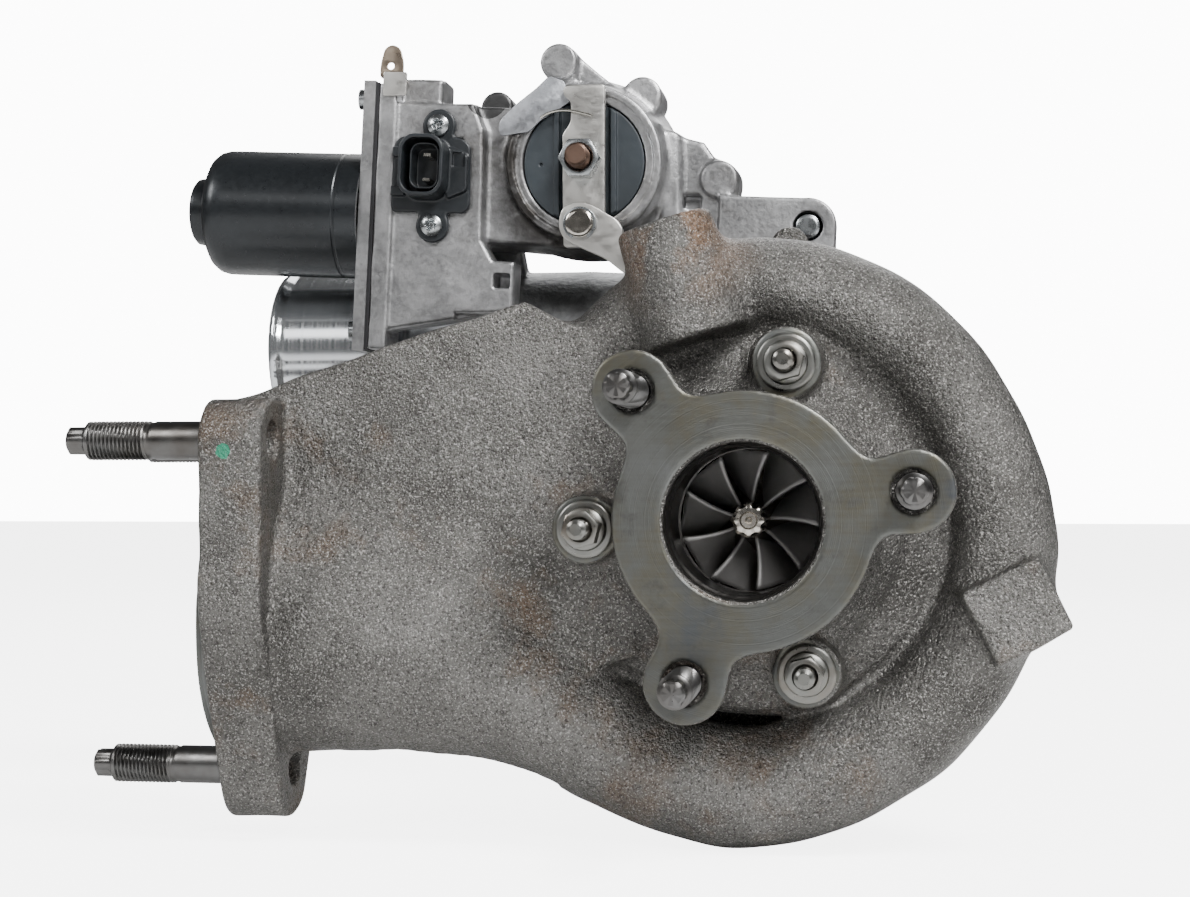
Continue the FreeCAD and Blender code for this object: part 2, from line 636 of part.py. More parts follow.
def actuator_housing():
    y0 = case_front_y
    # gear case round the output shaft, the connector side and the lower foot
    case = fuse(y_cyl(27.5, y0 + 3, 112), plate_y([(-64, -26), (12, -30), (24, -13), (24, 14), (-30, 19), (-64, 19)], 83, 112))
    face = plate_y([(-64, -58), (-38, -53), (-21.5, -50), (-21.5, -33.5), (-28, -33.5), (-33, -8), (-33, 15),
                    (-38, 19), (-64, 19)], y0, 92)
    rim = plate_y([(-70.0, -64.5), (-64, -64.5), (-64, 25), (-70.0, 25)], y0 - 1, 97)
    rim_top = plate_y([(-70.0, -30), (-64, -30), (-64, 25), (-70.0, 25)], 95, 122)
    back = plate_y([(-64, -27), (-28, -27), (-28, 19), (-64, 19)], 90, 114)
    ring = y_tube(26.0, 20.6, y0, y0 + 5)
    top_arm = bar_y((-10.6, 33.7), (-2, 20), 6.2, y0 + 3, 104)
    right_arm_top = bar_y((17, 24), (10, 14), 7.0, 88, 108)
    shoulder = plate_y([(10, 18), (28, 11.3), (38.7, 8.9), (42.5, 4), (50.5, -1), (51, -26), (20, -26)], 86, 104)
    arm = plate_y([(45, -9), (76, -9), (84, -20), (84, -24.5), (45, -24.5)], 84, 92)
    arm_end = y_cyl(9.5, 84, 92, 74.3, -18.4)
    hook = plate_y([(-63.8, 19), (-50.2, 19), (-50.2, 28), (-63.8, 28)], 86, 104)
    body = fuse(case, face, rim, rim_top, back, ring, top_arm, right_arm_top, shoulder, arm, arm_end, hook)
    cuts = []
    # hollow for the drive nut and its fork, open to the cover at the left
    cuts.append(block(-70.5, 14.5, 85.5, 109.0, -24.9, 12))
    cuts.append(y_cyl(12.0, 85.5, 109.0))
    cuts.append(y_cyl(20.4, y0 - 1, y0 + 4.4))
    cuts.append(y_cyl(5.05, 60, 112))
    cuts.append(x_cyl(4.05, 10, 19.2, motor_y, motor_w))
    cuts.append(block(32.6, 38.5, 80, 94, -13.1, -8.7))
    cuts.append(block(-28.3, -23.0, 70, 89, -42.3, -37.6))
    cuts.append(y_cyl(4.2, 80, 95, 74.3, -18.4))
    cuts.append(y_cyl(3.0, 109.5, 120, -36.0, -18.9))
    for u, w in ((-48.7, 10.6), (-49.5, -22.7)):
        cuts.append(y_cyl(2.0, y0 - 1, y0 + 10, u, w))
    cuts.append(block(-58, -41, y0 - 1, 86, -15, 7))
    cuts.append(plate_y(stop_outline(1.06), y0 - 3, y0 + 0.5))
    return tilt(body.cut(cuts).removeSplitter())


def cover_outline(grow):
    return [(case_front_y - 1 - grow, -64.5 - grow), (97 + grow, -64.5 - grow), (97 + grow, -31 - grow), (122 + grow, -30 - grow),
            (122 + grow, 25 + grow), (case_front_y - 1 - grow, 25 + grow)]


def actuator_gasket():
    shape = plate_x(cover_outline(0), -71.2, -70.0)
    return tilt(shape.cut(block(-72, -69, 85.5, 109, -24.9, 12)))


def actuator_cover():
    shape = plate_x(cover_outline(0.5), -75.2, -71.2)
    shape = shape.cut(x_cyl(motor_r - 5.0, -80, -70, motor_y, motor_w))
    for y, w in cover_screw_spots:
        shape = shape.cut(x_cyl(2.1, -80, -70, y, w))
    return tilt(shape)


def cover_screws():
    screws = []
    for y, w in cover_screw_spots:
        screws.append(fuse(x_cyl(3.4, -77.7, -75.2, y, w), x_cyl(2.0, -76, -71.2, y, w)))
    return tilt(group(screws))


def cover_clip():
    """Spring steel tab hooked over the top edge of the gear case."""
    foot = block(-68.6, -60.6, 76.8, 77.9, 20.4, 28.6)
    top = block(-68.6, -64.0, 76.8, 86.0, 27.4, 28.6)
    tab = plate_y([(-72.0, 27.4), (-72.0, 33), (-70.6, 38.0), (-68.0, 39.4), (-65.2, 38.0), (-64.0, 33.5), (-64.0, 27.4)], 84.9, 86)
    return tilt(fuse(foot, top, tab).cut(y_cyl(1.2, 80, 90, -68.4, 32.0)))


def motor_case():
    body = x_cyl(motor_r, -130.5, -75.2, motor_y, motor_w)
    body = body.makeFillet(5.5, [e for e in body.Edges if abs(e.CenterOfMass.x + 130.5) < 0.01])
    nose = x_cyl(11.5, -137.0, -130.0, motor_y, motor_w)
    nose = nose.makeFillet(1.5, [e for e in nose.Edges if abs(e.CenterOfMass.x + 137.0) < 0.01])
    shape = fuse(body, nose)
    shape = shape.cut([x_cyl(motor_r - 1.6, -128.5, -70, motor_y, motor_w), x_cyl(4.05, -134.5, -120, motor_y, motor_w)])
    return tilt(shape)


def motor_armature():
    shaft = x_cyl(4.0, -134.0, 18.8, motor_y, motor_w)
    stack = x_cyl(14.0, -122, -92, motor_y, motor_w)
    commutator = x_cyl(8.0, -89, -80, motor_y, motor_w)
    return tilt(fuse(shaft, stack, commutator))


def motor_magnets():
    shape = x_cyl(motor_r - 1.65, -124, -90, motor_y, motor_w).cut(x_cyl(14.6, -130, -80, motor_y, motor_w))
    gap = block(-130, -85, motor_y - 3, motor_y + 3, motor_w - 30, motor_w + 30)
    return tilt(shape.cut(gap))


def drive_nut():
    body = block(-7, 7, motor_y - 5.6, motor_y + 5.6, motor_w - 5.6, motor_w + 5.6)
    pins = y_cyl(2.0, motor_y - 9.0, motor_y + 9.0, 0, motor_w)
    return tilt(fuse(body, pins).cut(x_cyl(4.05, -30, 30, motor_y, motor_w)))


def drive_fork():
    shapes = []
    for y0 in (motor_y - 9.0, motor_y + 6.0):
        plate = fuse(bar_y((0, 0), (0, motor_w - 0.6), 5.0, y0, y0 + 3.0), y_cyl(8.0, y0, y0 + 3.0))
        slot = fuse(plate_y([(-2.3, motor_w - 2.6), (2.3, motor_w - 2.6), (2.3, motor_w + 2.6), (-2.3, motor_w + 2.6)], y0 - 1, y0 + 4),
                    y_cyl(2.3, y0 - 1, y0 + 4, 0, motor_w - 2.6), y_cyl(2.3, y0 - 1, y0 + 4, 0, motor_w + 2.6))
        shapes.append(plate.cut(slot))
    hub = y_cyl(8.0, motor_y - 8.0, motor_y + 8.0)
    return tilt(fuse(hub, *shapes).cut(y_cyl(5.0, 80, 115)))


def output_shaft():
    shape = fuse(y_cyl(5.0, 78.2, 111.5), y_cyl(4.0, 66.5, 79))
    return tilt(shape)


def shaft_cover():
    """Black moulded disc round the output shaft, with a raised bar on each side of the lever."""
    disc = y_tube(20.2, 5.4, case_front_y + 1.4, case_front_y + 4.4)
    return tilt(disc)


def control_lever():
    shape = plate_y([(-6.3, -15), (7.7, -15), (7.7, 25), (-6.0, 25)], *lever_y)
    shape = fuse(shape, bar_y((0, -14), (0, -lever_arm), 7.0, *lever_y))
    shape = shape.cut([y_cyl(4.0, 70, 90), block(-8, -3.6, 70, 90, 9.6, 19.8), y_cyl(3.0, 70, 90, 0, -lever_arm)])
    shape.translate(Vector(shaft_x, 0, shaft_z))
    return shape


def lever_nut():
    shape = hexagon(12.0, lever_y[0] - 6.4, lever_y[0], shaft_x, shaft_z, 90)
    shape = shape.cut(y_cyl(4.0, 60, 90, shaft_x, shaft_z))
    return shape


def lever_pin():
    z = shaft_z - lever_arm
    return fuse(y_cyl(3.0, link_y[0] - 2.6, lever_y[1] + 0.4, shaft_x, z), y_cyl(4.6, link_y[0] - 2.6, link_y[0] - 1.0, shaft_x, z))


def lever_wire():
    """Spring wire that holds the lever towards its stop, laid along the lever's top."""
    wire = Part.makeCylinder(0.55, 17, Vector(-13.5, lever_y[0] - 0.6, 15.6), Vector(1, 0, -0.14))
    wire.translate(Vector(shaft_x, 0, shaft_z))
    return wire


def link_plate():
    z = shaft_z - lever_arm
    cx, cz = polar(crank_pivot_r, crank_angle)
    end = (cx, cz - lever_arm)
    knee = (-38.5, 83.5)
    hip = (cx - 1.0, 60.0)
    shape = fuse(bar_y((shaft_x, z), knee, 7.4, *link_y), bar_y(knee, hip, 6.4, *link_y), bar_y(hip, end, 5.6, *link_y))
    return shape.cut([y_cyl(3.05, 70, 80, shaft_x, z), y_cyl(3.3, 70, 80, *end)])


def link_clip():
    z = shaft_z - lever_arm
    ring = y_tube(5.6, 3.05, link_y[0] - 0.95, link_y[0] - 0.05, shaft_x, z)
    return ring.cut(block(shaft_x - 1.6, shaft_x + 1.6, 70, 73, z - 8, z))


def stop_outline(grow):
    points = [(-12.8, 28.3), (-7.6, 26.5), (-5.2, 19.9), (-8.2, 17.8), (-15.2, 13.2), (-18.5, 9.6), (-28.2, 7.9),
              (-29.0, 10.6), (-28.4, 13.4), (-22.7, 19.3), (-17.0, 24.0)]
    mid_u, mid_w = -17.0, 17.5
    return [(mid_u + (u - mid_u) * grow, mid_w + (w - mid_w) * grow) for u, w in points]


def stop_plate():
    """Zinc plated stop for the lever, let into the collar beside the output shaft."""
    return tilt(plate_y(stop_outline(1.0), case_front_y - 0.6, case_front_y + 0.5))


def connector_body():
    y0 = case_front_y
    base = plate_y([(-63.9, 7), (-37.5, 7), (-37.0, -18.5), (-63.9, -18.5)], y0 - 2.6, y0)
    lugs = [y_cyl(5.6, y0 - 2.6, y0, -48.7, 10.6), y_cyl(5.6, y0 - 2.6, y0, -49.5, -22.7)]
    shroud = block(-59.6, -44.4, 66.0, y0 - 2, -14.2, 6.2)
    shroud = shroud.makeFillet(4.0, [e for e in shroud.Edges if abs(e.tangentAt(e.FirstParameter).y) > 0.99])
    plug = block(-57.6, -41.6, y0, y0 + 6.5, -14.6, 6.6)
    body = fuse(base, shroud, plug, *lugs)
    inner = block(-58.0, -46.0, 60.0, y0 - 1.5, -12.6, 4.6)
    inner = inner.makeFillet(3.0, [e for e in inner.Edges if abs(e.tangentAt(e.FirstParameter).y) > 0.99])
    cuts = [inner, y_cyl(2.05, 70, 90, -48.7, 10.6), y_cyl(2.05, 70, 90, -49.5, -22.7)]
    for w in (-0.4, -8.6):
        cuts.append(block(-51.5, -49.1, 70, y0 + 10, w - 0.5, w + 0.5))
    return tilt(body.cut(cuts).removeSplitter())


def connector_terminals():
    return tilt(group(block(-51.5, -49.1, 68.5, case_front_y + 6.0, w - 0.5, w + 0.5) for w in (-0.4, -8.6)))


def connector_screws():
    screws = []
    for u, w in ((-48.7, 10.6), (-49.5, -22.7)):
        y0 = case_front_y - 2.6
        head = y_cyl(3.6, y0 - 2.4, y0, u, w)
        head = head.cut([block(u - 2.2, u + 2.2, y0 - 3, y0 - 1.2, w - 0.45, w + 0.45), block(u - 0.45, u + 0.45, y0 - 3, y0 - 1.2, w - 2.2, w + 2.2)])
        screws.append(fuse(head, y_cyl(2.0, y0 - 0.5, y0 + 9, u, w)))
    return tilt(group(screws))


def actuator_bolts():
    """Bolt through the right arm, and the one that comes through the duct's lug from behind."""
    front = y_cyl(4.0, 84.5 + actuator_y, 108, *arm_spot)
    rear = fuse(y_cyl(m6_r, 110 + actuator_y, 129, *foot_spot), hexagon(10.0, 128, 133, *foot_spot))
    return group([front, rear])


# ---- write every node ---------------------------------------------------
save("turbine_housing", turbine_housing())
save("outlet_studs", outlet_studs())
save("inlet_studs", inlet_stud_set())
save("clamp_studs", clamp_studs())
save("clamp_nuts", clamp_nuts())
save("clamp_washers", clamp_washers())
save("shroud_plate", shroud_plate())
save("nozzle_spacers", nozzle_spacers())
save("nozzle_ring", nozzle_ring())
save("ring_guide_pins", guide_pins())
for number in range(vane_count):
    save("vane_%02d" % (number + 1), vane(vane_first + 36 * number))
save("unison_ring", unison_ring())
save("crank_shaft", crank_shaft())
save("crank_arm", crank_arm())
save("turbine_wheel", turbine_wheel())
save("compressor_wheel", comp_wheel())
save("thrust_collar", thrust_collar())
save("shaft_nut", shaft_nut())
save("bearing_housing", bearing_housing())
save("joint_bolts", joint_bolts())
save("heat_shield", heat_shield())
save("bushes", bushes())
save("thrust_bearing", thrust_bearing())
save("piston_rings", piston_rings())
save("compressor_backplate", comp_backplate())
save("compressor_housing", comp_housing())
save("compressor_clamp_plates", comp_clamp_plates())
save("compressor_bolts", comp_bolts())
save("actuator_housing", actuator_housing())
save("actuator_gasket", actuator_gasket())
save("actuator_cover", actuator_cover())
save("cover_screws", cover_screws())
save("cover_clip", cover_clip())
save("motor_case", motor_case())
save("motor_armature", motor_armature())
save("motor_magnets", motor_magnets())
save("drive_nut", drive_nut())
save("drive_fork", drive_fork())
save("output_shaft", output_shaft())
save("shaft_cover", shaft_cover())
save("control_lever", control_lever())
save("lever_nut", lever_nut())
save("lever_pin", lever_pin())
save("lever_wire", lever_wire())
save("link_plate", link_plate())
save("link_clip", link_clip())
save("stop_plate", stop_plate())
save("connector_body", connector_body())
save("connector_terminals", connector_terminals())
save("connector_screws", connector_screws())
save("actuator_bolts", actuator_bolts())
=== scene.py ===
import math

import bmesh
import bpy
import numpy as np
import openvdb
from mathutils import Matrix, Vector


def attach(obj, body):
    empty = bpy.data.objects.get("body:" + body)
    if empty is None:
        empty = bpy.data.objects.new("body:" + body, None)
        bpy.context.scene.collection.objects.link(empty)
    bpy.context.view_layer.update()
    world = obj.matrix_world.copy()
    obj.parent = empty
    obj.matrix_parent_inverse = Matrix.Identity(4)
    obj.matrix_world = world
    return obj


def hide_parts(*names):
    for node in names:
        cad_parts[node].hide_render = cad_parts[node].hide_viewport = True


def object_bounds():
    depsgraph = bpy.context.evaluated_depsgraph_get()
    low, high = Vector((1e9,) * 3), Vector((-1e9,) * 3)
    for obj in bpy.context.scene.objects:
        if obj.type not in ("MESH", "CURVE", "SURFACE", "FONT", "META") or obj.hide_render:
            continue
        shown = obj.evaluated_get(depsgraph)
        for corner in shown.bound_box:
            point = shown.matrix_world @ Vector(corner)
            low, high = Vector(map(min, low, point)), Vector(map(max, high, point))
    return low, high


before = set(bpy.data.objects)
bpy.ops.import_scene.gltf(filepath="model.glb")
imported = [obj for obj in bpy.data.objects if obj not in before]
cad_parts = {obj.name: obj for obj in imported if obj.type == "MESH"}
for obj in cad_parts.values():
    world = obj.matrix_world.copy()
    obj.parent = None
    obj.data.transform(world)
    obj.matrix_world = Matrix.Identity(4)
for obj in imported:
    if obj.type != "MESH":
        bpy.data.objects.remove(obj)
cad_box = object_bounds()
MM = 0.001

# ---------------------------------------------------------------- fields
# Cast pieces are made as signed distance fields in millimetres and meshed.


def blend(a, b, k):
    """Union of two fields with a fillet about k wide."""
    h = np.clip(0.5 + 0.5 * (b - a) / k, 0.0, 1.0)
    return b * (1 - h) + a * h - k * h * (1 - h)


def carve(a, b, k=0.0):
    """a without b, with the new edge rounded by k."""
    if k <= 0:
        return np.maximum(a, -b)
    return -blend(-a, b, k)


def polygon(px, py, points):
    """Distance to a closed outline in a plane, negative inside."""
    shape = np.broadcast(px, py).shape
    best = np.full(shape, 1e9, np.float32)
    inside = np.ones(shape, np.float32)
    for i, (ax, ay) in enumerate(points):
        bx, by = points[i - 1]
        ex, ey = bx - ax, by - ay
        wx, wy = px - ax, py - ay
        t = np.clip((wx * ex + wy * ey) / (ex * ex + ey * ey), 0, 1)
        dx, dy = wx - ex * t, wy - ey * t
        best = np.minimum(best, dx * dx + dy * dy)
        c1, c2, c3 = py >= ay, py < by, ex * wy > ey * wx
        flip = (c1 & c2 & c3) | (~c1 & ~c2 & ~c3)
        inside = np.where(flip, -inside, inside)
    return (inside * np.sqrt(best)).astype(np.float32)


def circle(px, py, cx, cy, r):
    return np.sqrt((px - cx) ** 2 + (py - cy) ** 2) - r


def bar(px, py, a, b, r):
    """Distance to a stretched circle from a to b."""
    ex, ey = b[0] - a[0], b[1] - a[1]
    t = np.clip(((px - a[0]) * ex + (py - a[1]) * ey) / (ex * ex + ey * ey), 0, 1)
    return np.sqrt((px - a[0] - ex * t) ** 2 + (py - a[1] - ey * t) ** 2) - r


def slab(flat, depth, low, high, edge=0.0):
    """An outline given depth, with its edges rounded."""
    w = np.abs(depth - (low + high) / 2) - (high - low) / 2 + edge
    d = flat + edge
    return np.minimum(np.maximum(d, w), 0) + np.sqrt(np.maximum(d, 0) ** 2 + np.maximum(w, 0) ** 2) - edge


class Grid:
    """A block of space, with coordinates along each axis and round the Y axis."""

    def __init__(self, low, high, step):
        self.low, self.step = low, step
        lines = [np.arange(a, b + step, step, dtype=np.float32) for a, b in zip(low, high)]
        self.x = lines[0][:, None, None]
        self.y = lines[1][None, :, None]
        self.z = lines[2][None, None, :]
        self.r = np.sqrt(self.x ** 2 + self.z ** 2)

    def turned(self, profile):
        """Solid of revolution round Y from (radius, y) points."""
        step = 0.4
        top = float(self.r.max()) + 1
        rs = np.arange(0, top, step, dtype=np.float32)[:, None]
        table = polygon(rs, self.y[0, :, 0][None, :], profile)
        place = self.r[:, 0, :] / step
        cell = np.minimum(place.astype(np.int32), len(rs) - 2)
        t = (place - cell).astype(np.float32)[:, :, None]
        out = table[cell] * (1 - t) + table[cell + 1] * t
        return np.ascontiguousarray(out.transpose(0, 2, 1))

    def rod(self, a, b, ra, rb=None, edge=0.0):
        """Flat-ended rod or cone between two points."""
        rb = ra if rb is None else rb
        axis = np.array(b, float) - np.array(a, float)
        length = float(np.linalg.norm(axis))
        axis /= length
        px, py, pz = self.x - a[0], self.y - a[1], self.z - a[2]
        along = px * axis[0] + py * axis[1] + pz * axis[2]
        off = np.sqrt(np.maximum(px ** 2 + py ** 2 + pz ** 2 - along ** 2, 0))
        radius = ra + (rb - ra) * np.clip(along / length, 0, 1)
        return slab(off - radius, along, 0, length, edge)

    def box(self, centre, half, turn=0.0, edge=0.0):
        """Box turned about Y, with rounded edges."""
        c, s = math.cos(math.radians(turn)), math.sin(math.radians(turn))
        dx, dz = self.x - centre[0], self.z - centre[2]
        qx = np.abs(dx * c + dz * s) - half[0] + edge
        qz = np.abs(dz * c - dx * s) - half[2] + edge
        qy = np.abs(self.y - centre[1]) - half[1] + edge
        out = np.sqrt(np.maximum(qx, 0) ** 2 + np.maximum(qy, 0) ** 2 + np.maximum(qz, 0) ** 2)
        return out + np.minimum(np.maximum(qx, np.maximum(qy, qz)), 0) - edge

    def swept(self, stations, y0, shrink=0.0):
        """Oval duct through (x, z, half height, half depth) stations in a plane across Y."""
        out = None
        for (x0, z0, h0, d0), (x1, z1, h1, d1) in zip(stations, stations[1:]):
            ex, ez = x1 - x0, z1 - z0
            t = np.clip(((self.x - x0) * ex + (self.z - z0) * ez) / (ex * ex + ez * ez), 0, 1)
            off = np.sqrt((self.x - x0 - ex * t) ** 2 + (self.z - z0 - ez * t) ** 2)
            high = h0 + (h1 - h0) * t - shrink
            deep = d0 + (d1 - d0) * t - shrink
            d = (np.sqrt((off / high) ** 2 + ((self.y - y0) / deep) ** 2) - 1) * np.minimum(high, deep)
            out = d if out is None else np.minimum(out, d)
        return out

    def spiral(self, law, y0, shrink=0.0, start=-126.0):
        """Volute tube from (angle, centre radius, tube radius) laws round Y."""
        turn = (np.degrees(np.arctan2(self.z, self.x)) - start) % 360 + start
        angles = [a for a, c, t in law]
        centre = np.interp(turn, angles, [c for a, c, t in law])
        tube = np.interp(turn, angles, [t for a, c, t in law]) - shrink
        d = np.sqrt((self.r - centre) ** 2 + (self.y - y0) ** 2) - tube
        gap = np.maximum(turn - angles[-1], 0) * math.pi / 180 * self.r
        return np.where(gap > 0, np.sqrt(np.maximum(d, 0) ** 2 + gap ** 2) + 0.02, d).astype(np.float32)


def smooth_law(rows, count):
    """More rows between the given ones, on a smooth curve through them."""
    rows = np.array(rows, float)
    out = []
    for i in range(len(rows) - 1):
        p0, p1 = rows[max(i - 1, 0)], rows[i]
        p2, p3 = rows[i + 1], rows[min(i + 2, len(rows) - 1)]
        for k in range(count):
            t = k / count
            out.append(0.5 * (2 * p1 + (p2 - p0) * t + (2 * p0 - 5 * p1 + 4 * p2 - p3) * t * t
                              + (3 * p1 - p0 - 3 * p2 + p3) * t ** 3))
    out.append(rows[-1])
    return [tuple(float(v) for v in row) for row in out]


def ripple(grid, size, amount, seed):
    """Slow uneven waves, as on a sand casting."""
    rng = np.random.default_rng(seed)
    total = 0.0
    for _ in range(5):
        k = rng.normal(size=3)
        k = k / np.linalg.norm(k) * 2 * math.pi / (size * rng.uniform(0.6, 1.6))
        total = total + np.sin(k[0] * grid.x + k[1] * grid.y + k[2] * grid.z + rng.uniform(0, 6.28))
    return total * (amount / 2.2)


def mesh_of(name, points, quads, tris=()):
    """Fast mesh from arrays of points in metres and faces."""
    mesh = bpy.data.meshes.new(name)
    quads, tris = np.asarray(quads, np.int32).reshape(-1, 4), np.asarray(tris, np.int32).reshape(-1, 3)
    loops = np.concatenate([quads.ravel(), tris.ravel()])
    sizes = np.concatenate([np.full(len(quads), 4), np.full(len(tris), 3)]).astype(np.int32)
    mesh.vertices.add(len(points))
    mesh.vertices.foreach_set("co", np.asarray(points, np.float32).ravel())
    mesh.loops.add(len(loops))
    mesh.loops.foreach_set("vertex_index", loops)
    mesh.polygons.add(len(sizes))
    mesh.polygons.foreach_set("loop_start", (np.cumsum(sizes) - sizes).astype(np.int32))
    mesh.polygons.foreach_set("loop_total", sizes)
    mesh.polygons.foreach_set("use_smooth", np.ones(len(sizes), bool))
    mesh.update(calc_edges=True)
    mesh.validate()
    obj = bpy.data.objects.new(name, mesh)
    bpy.context.scene.collection.objects.link(obj)
    return obj


def mesh_field(name, grid, field, place=None):
    field = np.clip(field, -3 * grid.step, 3 * grid.step).astype(np.float32)
    vdb = openvdb.FloatGrid(float(3 * grid.step))
    vdb.copyFromArray(field)
    points, tris, quads = vdb.convertToPolygons(isovalue=0.0, adaptivity=0.0)
    points = points * grid.step + np.array(grid.low)
    if place is not None:
        points = place(points)
    a, b, c, d = (points[quads[:, i]] for i in range(4))
    if (np.cross(c - a, d - b) * (a + b + c + d)).sum() < 0:
        quads, tris = quads[:, ::-1], tris[:, ::-1]
    return mesh_of(name, points * MM, quads, tris)


# ---------------------------------------------------------------- materials
def new_material(name):
    mat = bpy.data.materials.new(name)
    mat.use_nodes = True
    tree = mat.node_tree
    shader = tree.nodes["Principled BSDF"]
    return mat, tree, shader


class Nodes:
    """Short calls for building a node tree."""

    def __init__(self, tree):
        self.tree = tree
        self.coords = tree.nodes.new("ShaderNodeTexCoord").outputs["Object"]

    def add(self, kind, inputs=(), **settings):
        node = self.tree.nodes.new(kind)
        for key, value in settings.items():
            setattr(node, key, value)
        for key, value in dict(inputs).items():
            if isinstance(value, bpy.types.NodeSocket):
                self.tree.links.new(value, node.inputs[key])
            else:
                node.inputs[key].default_value = value
        return node

    def math(self, operation, a, b=0.0, clamp=False):
        return self.add("ShaderNodeMath", {0: a, 1: b}, operation=operation, use_clamp=clamp).outputs[0]

    def noise(self, scale, detail=2.0, rough=0.5, vector=None):
        return self.add("ShaderNodeTexNoise", {"Vector": vector or self.coords, "Scale": scale, "Detail": detail,
                                               "Roughness": rough}).outputs["Fac"]

    def grains(self, scale, feature="F1"):
        return self.add("ShaderNodeTexVoronoi", {"Vector": self.coords, "Scale": scale}, feature=feature).outputs["Distance"]

    def ramp(self, value, stops):
        node = self.tree.nodes.new("ShaderNodeValToRGB")
        self.tree.links.new(value, node.inputs[0])
        while len(node.color_ramp.elements) < len(stops):
            node.color_ramp.elements.new(0.5)
        for element, (at, colour) in zip(node.color_ramp.elements, stops):
            element.position = at
            element.color = (*colour, 1.0) if not isinstance(colour, float) else (colour, colour, colour, 1.0)
        return node.outputs["Color"]

    def mix(self, factor, a, b):
        node = self.add("ShaderNodeMix", data_type="RGBA")
        for socket, value in ((node.inputs[0], factor), (node.inputs[6], a), (node.inputs[7], b)):
            if isinstance(value, bpy.types.NodeSocket):
                self.tree.links.new(value, socket)
            elif isinstance(value, float):
                socket.default_value = value
            else:
                socket.default_value = (*value, 1.0)
        return node.outputs[2]

    def bump(self, height, distance, strength=1.0, normal=None):
        inputs = {"Height": height, "Distance": distance, "Strength": strength}
        if normal is not None:
            inputs["Normal"] = normal
        return self.add("ShaderNodeBump", inputs).outputs["Normal"]

    def axis(self, index):
        return self.add("ShaderNodeSeparateXYZ", {0: self.coords}).outputs[index]

    def away(self, point, radius_only=True):
        """Distance from a point, or from the line along Y through it."""
        moved = self.add("ShaderNodeVectorMath", {0: self.coords, 1: point}, operation="SUBTRACT").outputs[0]
        if radius_only:
            moved = self.add("ShaderNodeVectorMath", {0: moved, 1: (1, 0, 1)}, operation="MULTIPLY").outputs[0]
        return self.add("ShaderNodeVectorMath", {0: moved}, operation="LENGTH").outputs["Value"]

    def link(self, output, socket):
        self.tree.links.new(output, socket)


